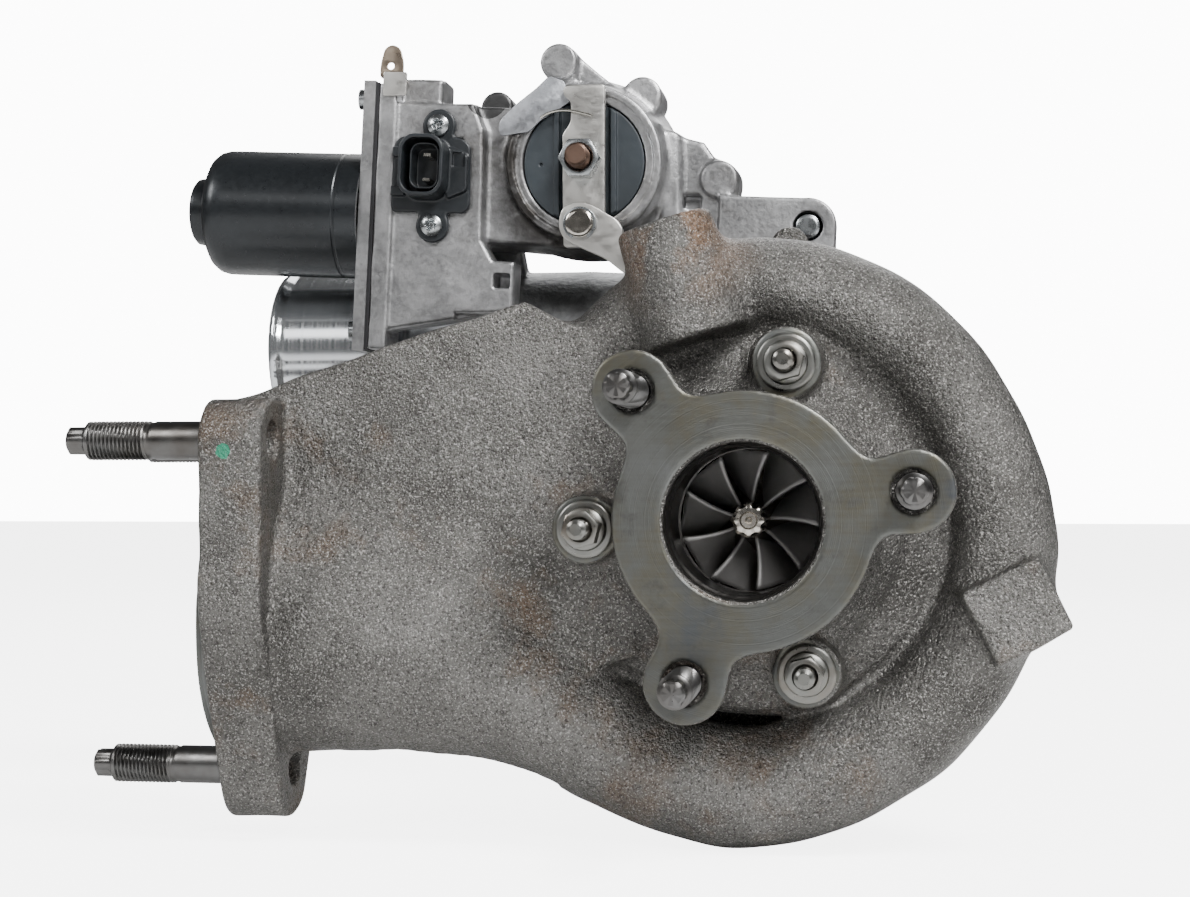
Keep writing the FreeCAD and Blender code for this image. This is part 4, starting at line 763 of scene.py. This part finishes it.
def grow(obj, width, segments=2, angle=40.0):
    """Round an object's edges with a bevel modifier."""
    mod = obj.modifiers.new("edges", "BEVEL")
    mod.width, mod.segments = width * MM, segments
    mod.limit_method, mod.angle_limit = "ANGLE", math.radians(angle)
    mod.use_clamp_overlap = True
    mod.harden_normals = False
    return obj


def sheet(name, outline, y0, y1, bevel=0.25, place=ALONG_Y, holes=()):
    """Flat plate from a closed outline in X, Z, by a filled curve with rounded edges."""
    curve = bpy.data.curves.new(name, "CURVE")
    curve.dimensions, curve.fill_mode = "2D", "BOTH"
    loops = [outline] + [[(cx + r * math.cos(t), cz + r * math.sin(t)) for t in np.linspace(0, 2 * math.pi, 49)[:-1]]
                         for cx, cz, r in holes]
    for loop in loops:
        line = curve.splines.new("POLY")
        line.points.add(len(loop) - 1)
        line.use_cyclic_u = True
        for point, (px, pz) in zip(line.points, loop):
            point.co = (px * MM, pz * MM, 0, 1)
    curve.extrude = ((y1 - y0) / 2 - bevel) * MM
    curve.bevel_depth, curve.bevel_resolution = bevel * MM, 2
    curve.offset = -bevel * MM
    holder = bpy.data.objects.new(name + "_line", curve)
    bpy.context.scene.collection.objects.link(holder)
    bpy.context.view_layer.update()
    mesh = bpy.data.meshes.new_from_object(holder.evaluated_get(bpy.context.evaluated_depsgraph_get()))
    bpy.data.objects.remove(holder)
    mesh.transform(place @ spot(0, (y0 + y1) / 2, 0) @ Matrix.Rotation(math.pi / 2, 4, "X"))
    work = bmesh.new()
    work.from_mesh(mesh)
    bmesh.ops.remove_doubles(work, verts=work.verts, dist=1e-6)
    bmesh.ops.recalc_face_normals(work, faces=work.faces)
    work.to_mesh(mesh)
    work.free()
    for face in mesh.polygons:
        face.use_smooth = True
    mesh.set_sharp_from_angle(angle=math.radians(35))
    obj = bpy.data.objects.new(name, mesh)
    bpy.context.scene.collection.objects.link(obj)
    return obj


def rounded(points, r, steps=5):
    """An outline with its corners rounded."""
    out = []
    for i, (x, z) in enumerate(points):
        ax, az = points[i - 1][0] - x, points[i - 1][1] - z
        bx, bz = points[(i + 1) % len(points)][0] - x, points[(i + 1) % len(points)][1] - z
        la, lb = math.hypot(ax, az), math.hypot(bx, bz)
        cut = min(r, la * 0.48, lb * 0.48)
        p = (x + ax / la * cut, z + az / la * cut)
        q = (x + bx / lb * cut, z + bz / lb * cut)
        for k in range(steps + 1):
            t = k / steps
            out.append(tuple((1 - t) ** 2 * p[j] + 2 * t * (1 - t) * (x, z)[j] + t * t * q[j] for j in (0, 1)))
    return out


# ---------------------------------------------------------------- fasteners of the turbine housing
def outlet_stud(x, z, turn):
    rows = [(-31.9, 2.9)]
    rows += [(-31.3, star(3.7, 0.30, 6, turn)), (-26.6, star(3.75, 0.30, 6, turn)), (-26.0, 4.0), (-25.2, 4.85)]
    rows += thread(-25.0, 2.0, 5.0, 1.25)
    rows += [(2.4, 4.95), (9.9, 4.95)]
    return lathe(rows, spot(x, 0, z))


def inlet_stud(y, z):
    rows = [(0.1, 3.3), (0.9, star(4.45, 0.5, 6)), (5.4, star(4.5, 0.5, 6)), (6.0, 4.6), (6.6, 5.7)]
    rows += thread(6.8, 26.0, 6.0, 1.25)
    rows += [(26.6, 5.55), (27.6, 5.5), (28.2, 5.85), (60.0, 5.85)]
    return lathe([(-a, r) for a, r in rows][::-1], along_x(-207.0, y, z))


piece(put("outlet_stud_set", [outlet_stud(x, z, i) for i, (x, z) in enumerate(OUTLET_STUDS)]),
      "housings", "steel", "stud", "outlet_studs")
piece(put("inlet_stud_set", [inlet_stud(y, z) for y, z, r in INLET_STUDS]), "housings", "steel", "stud", "inlet_studs")
piece(put("clamp_stud_set", [lathe([(-2.4, 1.7), (-1.9, 2.2)] + thread(-1.6, 16, 3.0, 1.0) + [(17, 2.95), (59.9, 2.95)], spot(x, 0, z))
                             for x, z in CLAMPS]), "housings", "steel", "clamp_nut", "clamp_studs")
NUT_FOOT = [(11.4, 3.1), (11.4, 5.0), (12.0, 6.2), (12.9, 6.55), (14.35, 6.6), (14.35, 3.1)]
piece(put("clamp_nut_set", [nut(10.0, 4.5, 12.2, 3.0, spot(x, 0, z), 15) for x, z in CLAMPS]
          + [lathe(NUT_FOOT, spot(x, 0, z), True) for x, z in CLAMPS]), "housings", "steel", "clamp_nut", "clamp_nuts")
WASHER = [(14.4, 3.2), (14.4, 7.6), (14.5, 8.2), (14.85, 8.55), (15.6, 8.6), (16.0, 8.3), (16.0, 3.2)]
piece(put("clamp_washer_set", [lathe(WASHER, spot(x, 0, z), True) for x, z in CLAMPS]),
      "housings", "steel", "clamp_nut", "clamp_washers")


# ---------------------------------------------------------------- wheels
def blades(name, count, twist, edge, hub, rim, thick, first=0.0, stop=1.0):
    """Thin blades between a hub and a rim line, turning as they go along the shaft."""
    rows, cols = 22, 12
    ys = np.linspace(0, stop, rows)[:, None]
    ss = np.linspace(0, 1, cols)[None, :]
    y = (edge[0] + (edge[1] - edge[0]) * ss) * (1 - ys) + edge[2] * ys
    low = np.interp(y, [p[0] for p in hub], [p[1] for p in hub]) - 0.6
    high = np.interp(y, [p[0] for p in rim], [p[1] for p in rim])
    r = low + (high - low) * ss
    turn = np.interp(y, [p[0] for p in twist], [p[1] for p in twist])
    points, quads = [], []
    grid = np.arange(rows * cols).reshape(rows, cols)
    faces = np.stack([grid[:-1, :-1], grid[1:, :-1], grid[1:, 1:], grid[:-1, 1:]], axis=-1).reshape(-1, 4)
    for k in range(count):
        a = np.radians(turn + first + 360 * k / count)
        points.append(np.stack([r * np.cos(a), y, r * np.sin(a)], axis=-1).reshape(-1, 3))
        quads.append(faces + k * rows * cols)
    obj = mesh_of(name, np.concatenate(points) * MM, np.concatenate(quads))
    mod = obj.modifiers.new("thickness", "SOLIDIFY")
    mod.thickness, mod.offset = thick * MM, 0.0
    return obj


TURBINE_HUB = [(33, 4.8), (37, 6.0), (44, 8.2), (50.5, 12.5), (54.6, 19), (56.2, 25.2), (57.5, 25.2)]
TURBINE_RIM = [(33, 20.9), (38.6, 20.9), (42.2, 21.8), (46.3, 24.1), (47.9, 25.9), (57.5, 25.9)]
TWIST = [(33, -46), (36, -36), (39, -26.5), (42, -18.5), (45, -12), (48, -7), (51, -3.5), (54, -1), (57, 0)]
piece(blades("turbine_blades", 9, TWIST, (36.4, 33.2, 56.4), TURBINE_HUB, TURBINE_RIM, 0.95), "rotor", "nickel_steel", "wheel",
      "turbine_wheel")
hub_rows = [(26.2, 0.5), (25.5, 1.1), (25.5, 2.2), (25.0, 2.7), (25.05, star(4.2, 0.3, 8)), (25.5, star(5.1, 0.9, 8)),
            (29.4, star(5.4, 0.9, 8)), (30.2, 5.2), (31.5, 5.0), (33, 5.0), (37, 6.0), (40.5, 6.9), (44, 8.2), (47.5, 10.1),
            (50.5, 12.5), (52.8, 15.6), (54.6, 19), (55.7, 22.4), (56.2, 25.2), (57.5, 25.2), (57.9, 12), (59.2, 7.7), (61.1, 7.7),
            (61.1, 6.4), (62.9, 6.4), (62.9, 7.7), (67.6, 7.7), (68.4, 3.96), (109.2, 3.96), (109.6, 2.96), (152, 2.96)]
piece(put("turbine_hub", [lathe(hub_rows)], 30), "rotor", "nickel_steel", "hub_end", "turbine_wheel")
COMP_HUB = [(119.8, 28.3), (120.5, 28.3), (122.4, 20), (124.2, 16), (126.5, 13), (129.5, 10.4), (133, 8.8), (137, 7.7), (141, 7.0), (146.5, 6.4)]
COMP_RIM = [(119.8, 28.4), (123, 28.4), (124.9, 24.2), (129, 21.3), (134, 19.9), (147, 19.9)]
CTWIST = [(119.8, 0), (123, 2), (126, 5), (129.5, 9.5), (132.7, 15.5), (136, 23), (139, 32), (142.4, 42.5), (145.6, 55)]
piece(blades("compressor_blades", 6, CTWIST, (144.8, 144.4, 120.6), COMP_HUB, COMP_RIM, 0.9), "rotor", "wheel_aluminium",
      "wheel_aluminium", "compressor_wheel")
piece(blades("compressor_splitters", 6, CTWIST, (135.8, 135.2, 120.6), COMP_HUB, COMP_RIM, 0.9, 30), "rotor", "wheel_aluminium",
      "wheel_aluminium", "compressor_wheel")
piece(put("compressor_hub", [lathe([(119.8, 3.05), (119.8, 27.6), (120.0, 28.5)] + COMP_HUB[1:] + [(146.5, 3.05)], ALONG_Y, True)], 30),
      "rotor", "wheel_aluminium", "wheel_aluminium", "compressor_wheel")
piece(put("shaft_end_nut", [nut(9.0, -151, -147.4, 3.0, Matrix.Scale(-1, 4, (0, 1, 0)), 0, True),
                            lathe([(146.5, 3.0), (146.5, 4.6), (146.8, 5.0), (147.4, 5.0), (147.4, 3.0)], ALONG_Y, True)]),
      "rotor", "steel", "steel", "shaft_nut")

# ---------------------------------------------------------------- lever, link and their fasteners
LX, LZ = -58.5, 117.1
PIN_Z = LZ - 21.3
lever_line = rounded([(-6.3, -13), (-6.0, -28.6), (6.2, -28.6), (7.7, -22), (7.7, 24.9), (-5.9, 24.9), (-6.3, 21.6), (-3.6, 19.6),
                      (-3.6, 12.5), (-5.6, 9.8), (-6.4, 8.4)], 1.5, 4)
lever_line = [(LX + x, LZ + z) for x, z in lever_line]
lever = sheet("lever_blank", lever_line, 79.22, 82.18, 0.35, ALONG_Y, [(LX, LZ, 4.05), (LX, PIN_Z, 3.05)])
piece(lever, "lever", "bright_steel", "bright", "control_lever")
piece(put("lever_hex_nut", [nut(12.0, 72.8, 79.15, 4.05, spot(LX, 0, LZ), 0, False)]), "lever", "zinc", "zinc", "lever_nut")
shaft_rows = [(66.6, 3.0), (67.1, 3.55), (67.4, 3.6)] + [(a, r - 0.25) for a, r in thread(67.5, 78.5, 4.1, 1.25)] + [(79.0, 3.95), (82.3, 3.95),
             (82.35, 4.97), (115.6, 4.97)]
piece(put("output_shaft_turned", [lathe([(a + 4.2 if a < 66 else a, r) for a, r in shaft_rows], spot(LX, 0, LZ))], 30),
      "lever", "steel", "shaft_end", "output_shaft")
pin_rows = [(73.2, 3.3), (73.25, 4.1), (73.6, 4.55), (74.8, 4.6), (74.8, 2.98), (82.4, 2.98)]
pin = put("lever_pin_turned", [lathe(pin_rows, spot(LX, 0, PIN_Z))])
piece(pin, "lever", "bright_steel", "hub_end", "lever_pin")


def clip_ring():
    """Open spring clip with two rounded ends."""
    t = np.linspace(math.radians(-62), math.radians(242), 41)
    outer = [(LX + 5.5 * math.cos(a), PIN_Z + 5.5 * math.sin(a)) for a in t]
    inner = [(LX + 3.15 * math.cos(a), PIN_Z + 3.15 * math.sin(a)) for a in t[::-1]]
    return sheet("clip_ring", outer + inner, 74.88, 75.72, 0.12)


piece(clip_ring(), "lever", "spring_steel", "zinc", "link_clip")


def wire(name, points, r):
    curve = bpy.data.curves.new(name, "CURVE")
    curve.dimensions = "3D"
    line = curve.splines.new("NURBS")
    line.points.add(len(points) - 1)
    for p, q in zip(line.points, points):
        p.co = (*[v * MM for v in q], 1)
    line.use_endpoint_u, line.order_u, line.resolution_u = True, 3, 5
    curve.bevel_depth, curve.bevel_resolution, curve.use_fill_caps = r * MM, 3, True
    holder = bpy.data.objects.new(name + "_line", curve)
    bpy.context.scene.collection.objects.link(holder)
    bpy.context.view_layer.update()
    mesh = bpy.data.meshes.new_from_object(holder.evaluated_get(bpy.context.evaluated_depsgraph_get()))
    bpy.data.objects.remove(holder)
    for face in mesh.polygons:
        face.use_smooth = True
    obj = bpy.data.objects.new(name, mesh)
    bpy.context.scene.collection.objects.link(obj)
    return obj


piece(wire("lever_spring_wire", [(LX - 13.6, 79.0, LZ + 14.2), (LX - 11, 78.7, LZ + 15.8), (LX - 6.5, 78.6, LZ + 16.6), (LX - 2, 78.6, LZ + 16.0),
                                 (LX + 3.4, 78.6, LZ + 14.4)], 0.5), "lever", "spring_steel", "brass", "lever_wire")

cx, cz = CRANK
END = (cx, cz - 21.3)
PX, PZ = LX, PIN_Z
link_line = rounded([(PX - 7.4, PZ - 0.5), (PX - 6.0, PZ + 5.6), (PX - 1.0, PZ + 7.4), (PX + 3.4, PZ + 6.3), (PX + 12.3, PZ + 1.0),
                     (PX + 14.3, PZ - 2.4), (PX + 13.6, PZ - 4.6), (PX + 22.0, PZ - 8.0), (PX + 26.6, PZ - 14.0), (cx + 5.4, 62.0),
                     (cx + 5.5, END[1] + 2.0), (cx + 3.5, END[1] - 4.6), (cx - 3.0, END[1] - 5.0), (cx - 5.6, END[1] + 0.0),
                     (cx - 7.2, 58.0), (PX + 19.5, PZ - 19.6), (PX + 14.0, PZ - 16.2), (PX + 8.4, PZ - 11.6), (PX + 3.3, PZ - 9.3),
                     (PX - 5.2, PZ - 5.4)], 2.6, 5)
link = sheet("link_blank", link_line, 75.82, 78.78, 0.35, ALONG_Y, [(PX, PZ, 3.05), (*END, 3.3)])
piece(link, "link", "bright_steel", "bright", "link_plate")

# ---------------------------------------------------------------- disc, stop, connector and motor
CASE_Y = 79.0
CELL = 0.25


def shaft_disc():
    g = Grid((-21, 78.2, -21), (21, 84.2, 21), CELL * 1.2)
    x, y, z = g.x, g.y, g.z
    body = slab(g.r - 20.15, y, 80.4, 83.4, 0.3)
    slope = x * math.cos(TILT) - z * math.sin(TILT)
    across = x * math.cos(TILT) + z * math.sin(TILT)
    for low, high in ((-10.0, -8.2), (8.9, 10.9)):
        rib = np.maximum(np.abs(across - (low + high) / 2) - (high - low) / 2, g.r - 19.6)
        body = blend(body, slab(rib, y, 79.3, 82, 0.25), 0.4)
    channel = np.maximum(np.abs(across - 0.35) - 8.0, g.r - 21)
    body = carve(body, slab(channel, y, 78, 81.0), 0.2)
    body = carve(body, slab(circle(slope, z, -14.3, -1.0, 0.55), y, 78, 81.2))
    body = carve(body, slab(g.r - 5.4, y, 70, 90))
    return mesh_field("shaft_disc", g, body, actuator_place)


piece(shaft_disc(), "housings", "black_plastic", "disc", "shaft_cover")


def connector():
    g = Grid((-66.5, 65.4, -30), (-35, 86.4, 18), CELL)
    x, y, z = g.x, g.y, g.z
    plate = polygon(x, z, rounded([(-63.8, 4.6), (-61.5, 6.9), (-56, 6.9), (-41, 6.9), (-37.6, 4.2), (-37.1, -16.0), (-38.8, -18.4),
                                   (-63.3, -18.4), (-63.9, -16.0)], 2.0, 4))
    for u, w in ((-48.7, 10.6), (-49.5, -22.7)):
        plate = blend(plate, circle(x, z, u, w, 5.6), 2.5)
    body = slab(plate, y, 76.4, 79.0, 0.7)

    def oval_box(cx, cz, hx, hz, r):
        qx, qz = np.abs(x - cx) - hx + r, np.abs(z - cz) - hz + r
        return np.sqrt(np.maximum(qx, 0) ** 2 + np.maximum(qz, 0) ** 2) + np.minimum(np.maximum(qx, qz), 0) - r

    body = blend(body, slab(oval_box(-52.0, -4.0, 7.6, 10.2, 5.4), y, 66.0, 78, 0.5), 1.0)
    for low, high in ((-0.2, 3.0), (-13.2, -10.0)):
        side = polygon(x, z, [(-63.6, low), (-59, low), (-59, high), (-63.6, high)])
        body = blend(body, slab(side, y, 74.2, 78, 0.4), 0.5)
    wing = polygon(x, z, rounded([(-45, 3.5), (-38.2, 1.0), (-38.0, -11.0), (-45, -14)], 1.5, 3))
    body = blend(body, slab(wing, y, 75.0, 78, 0.6), 0.8)
    body = np.minimum(body, slab(oval_box(-49.6, -4.0, 7.9, 10.5, 1.0), y, 79, 85.4))
    body = carve(body, slab(oval_box(-52.0, -4.0, 6.3, 8.9, 4.3), y, 60, 76.6), 0.25)
    lip = np.maximum(oval_box(-51.2, -4.0, 4.9, 7.6, 3.4), -oval_box(-51.2, -4.0, 4.3, 7.0, 2.9))
    body = np.minimum(body, slab(lip, y, 68.4, 77.2))
    body = carve(body, slab(oval_box(-41.3, -0.8, 2.0, 2.4, 0.6), y, 60, 75.9), 0.2)
    for w in (-0.4, -8.6):
        body = carve(body, slab(oval_box(-50.3, w, 1.25, 0.55, 0.1), y, 60, 90))
    for u, w in ((-48.7, 10.6), (-49.5, -22.7)):
        body = carve(body, slab(circle(x, z, u, w, 2.1), y, 60, 90))
    return mesh_field("connector_moulding", g, body, actuator_place)


piece(connector(), "housings", "black_plastic", "plastic", "connector_body")


def cross_screws():
    parts = []
    g = Grid((-4.2, 73.2, -4.2), (4.2, 85.4, 4.2), 0.16)
    x, y, z = g.x, g.y, g.z
    head = np.maximum(slab(g.r - 3.6, y, 74.0, 76.35, 0.5), np.sqrt(g.r ** 2 + (y - 79.6) ** 2) - 5.75)
    body = np.minimum(head, slab(g.r - 1.95, y, 76, 85.0, 0.2))
    arm = 0.55 + 0.12 * np.minimum(76 - y, 2)
    for px, pz in ((x, z), (z, x)):
        body = carve(body, np.maximum(np.maximum(np.abs(px) - arm, np.abs(pz) - 2.1 + (y - 74) * 0.8), y - 75.6), 0.15)
    for i, (u, w, spin) in enumerate(((-48.7, 10.6, 28), (-49.5, -22.7, 72))):
        def place(points, u=u, w=w, spin=math.radians(spin)):
            c, s = math.cos(spin), math.sin(spin)
            out = points.copy()
            out[:, 0] = points[:, 0] * c - points[:, 2] * s + u
            out[:, 2] = points[:, 0] * s + points[:, 2] * c + w
            return actuator_place(out)
        screw = mesh_field("cross_screw_" + "ab"[i], g, body, place)
        piece(screw, "housings", "zinc", "zinc", "connector_screws")


cross_screws()

stop_line = rounded(STOP, 1.2, 4)
piece(sheet("stop_sheet", stop_line, 78.4, 79.5, 0.2, ACTUATOR), "housings", "zinc", "spangle", "stop_plate")

motor_rows = [(-137.0, 9.3), (-136.9, 10.4), (-136.1, 11.3), (-135.0, 11.5), (-131.2, 11.5), (-130.6, 12.0), (-130.5, 15.2), (-130.1, 17.2),
              (-129.0, 19.2), (-127.2, 20.6), (-125.0, 21.2), (-122.0, 21.3), (-84.0, 21.3), (-83.6, 21.05), (-83.0, 21.05), (-82.6, 21.3),
              (-75.3, 21.3), (-75.3, 19.7), (-128.4, 19.7), (-128.4, 4.1), (-134.4, 4.1), (-134.4, 2.0)]
motor_place = ACTUATOR @ spot(0, 95, -18) @ Matrix.Rotation(-math.pi / 2, 4, "Z")
piece(put("motor_can", [lathe(motor_rows, motor_place)], 30), "housings", "black_steel", "motor", "motor_case")


def cover_tab():
    """Spring tab hooked over the top edge of the gear case, with its hole and folded foot."""
    tab = rounded([(-72.0, 27.6), (-72.0, 32.5), (-70.8, 38.0), (-68.2, 39.4), (-65.4, 38.2), (-64.0, 33.5), (-64.0, 27.6)], 1.8, 4)
    piece(sheet("cover_tab", tab, 84.92, 85.98, 0.2, ACTUATOR, [(-68.4, 32.0, 1.2)]), "housings", "spring_steel", "spring", "cover_clip")
    fold = rounded([(-68.4, 76.9), (-68.4, 85.4), (-64.2, 85.4), (-64.2, 76.9)], 0.6, 3)
    flat = ACTUATOR @ Matrix.Rotation(-math.pi / 2, 4, "X")
    piece(sheet("cover_tab_fold", [(x, y) for x, y in fold], -28.5, -27.5, 0.2, flat), "housings", "spring_steel", "spring", "cover_clip")
    foot = rounded([(-68.6, 20.4), (-68.6, 28.5), (-60.6, 28.4), (-60.6, 20.6)], 0.6, 3)
    piece(sheet("cover_tab_foot", foot, 76.82, 77.88, 0.25, ACTUATOR), "housings", "spring_steel", "bright", "cover_clip")


cover_tab()

bolt_rows = [(88.8, 1.6), (88.7, 2.4), (88.72, 3.2), (89.1, 3.85), (89.6, 3.95), (107.8, 3.95)]
piece(put("actuator_bolt_set", [lathe(bolt_rows, spot(14.85, 0, 95.2)), nut(10.0, -133, -128.05, 1.0, spot(-95.35, 0, 99.9) @ Matrix.Scale(-1, 4, (0, 1, 0)), 0, True),
                                lathe([(114.3, 2.95), (132.2, 2.95)], spot(-95.35, 0, 99.9))]), "housings", "zinc", "zinc", "actuator_bolts")

# rounded edges on some carried-over CAD parts; the green paint dot on the inlet flange is drawn in the cast iron
# material
for node, width in (("bearing_housing", 0.6), ("actuator_cover", 0.5), ("compressor_backplate", 0.3), ("compressor_clamp_plates", 0.3),
                    ("joint_bolts", 0.3), ("compressor_bolts", 0.3), ("crank_arm", 0.3), ("cover_screws", 0.4), ("actuator_gasket", 0.1)):
    grow(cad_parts[node], width)

DONE = {"turbine_housing", "actuator_housing", "compressor_housing", "outlet_studs", "inlet_studs", "clamp_studs", "clamp_nuts",
        "clamp_washers", "turbine_wheel", "compressor_wheel", "shaft_nut", "control_lever", "lever_nut", "output_shaft", "lever_pin",
        "link_clip", "lever_wire", "link_plate", "shaft_cover", "connector_body", "connector_screws", "stop_plate", "motor_case",
        "cover_clip", "actuator_bolts"}
for node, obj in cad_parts.items():
    if node not in DONE:
        paint(obj, SKIN.get(node, "nickel"))

# ---------------------------------------------------------------- stage, camera and light
floor_z = cad_box[0][2] - 0.0005


def stage():
    mat, tree, shader = new_material("pale_floor")
    n = Nodes(tree)
    n.link(n.ramp(n.noise(3, 2, 0.5), [(0.3, (0.90, 0.90, 0.90)), (0.7, (0.92, 0.92, 0.92))]), shader.inputs["Base Color"])
    shader.inputs["Roughness"].default_value = 0.9
    ray = n.add("ShaderNodeLightPath").outputs["Is Camera Ray"]
    shader.inputs["Emission Color"].default_value = (1.0, 1.0, 1.0, 1.0)
    n.link(n.math("MULTIPLY", ray, 5.0), shader.inputs["Emission Strength"])
    size = 6.0
    points = [(-size, -size, floor_z), (size, -size, floor_z), (size, size, floor_z), (-size, size, floor_z)]
    floor = mesh_of("floor", points, [(0, 1, 2, 3)])
    floor.data.materials.append(mat)


stage()


def area(name, place, target, size, power, tone=(1.0, 1.0, 1.0)):
    light = bpy.data.lights.new(name, "AREA")
    light.shape, light.size, light.energy, light.color = "SQUARE", size, power, tone
    obj = bpy.data.objects.new(name, light)
    obj.location = place
    obj.rotation_euler = (Vector(target) - Vector(place)).to_track_quat("-Z", "Y").to_euler()
    bpy.context.scene.collection.objects.link(obj)


middle = (-0.04, 0.06, 0.03)
area("key", (0.60, -0.40, 1.0), middle, 0.36, 19)
area("left", (-1.1, -0.55, 0.75), middle, 0.42, 7)
area("front", (0.50, -1.15, 0.80), middle, 0.35, 10.5)
area("back", (0.0, 1.1, 0.9), middle, 0.9, 8)
area("low_left", (-0.55, -1.05, 0.60), (-0.15, 0.09, 0.1), 0.30, 0.8)

world = bpy.data.worlds.new("studio")
bpy.context.scene.world = world
world.use_nodes = True
wt = world.node_tree
back = wt.nodes["Background"]
back.inputs[0].default_value = (1.0, 1.0, 1.0, 1.0)
back.inputs[1].default_value = 0.095
seen = wt.nodes.new("ShaderNodeBackground")
seen.inputs[0].default_value = (1.0, 1.0, 1.0, 1.0)
seen.inputs[1].default_value = 12.0
ray = wt.nodes.new("ShaderNodeLightPath")
pick = wt.nodes.new("ShaderNodeMixShader")
wt.links.new(ray.outputs["Is Camera Ray"], pick.inputs[0])
wt.links.new(back.outputs[0], pick.inputs[1])
wt.links.new(seen.outputs[0], pick.inputs[2])
wt.links.new(pick.outputs[0], wt.nodes["World Output"].inputs[0])

camera_data = bpy.data.cameras.new("camera")
camera_data.sensor_width = 36.0
camera_data.lens = 60.5
camera_data.clip_start, camera_data.clip_end = 0.01, 50
camera = bpy.data.objects.new("camera", camera_data)
yaw, pitch = math.radians(8.587), math.radians(1.189)
camera.location = (0.0434, -0.566, 0.009)
camera.rotation_euler = (math.pi / 2 + pitch, 0, yaw)
bpy.context.scene.collection.objects.link(camera)
bpy.context.scene.camera = camera
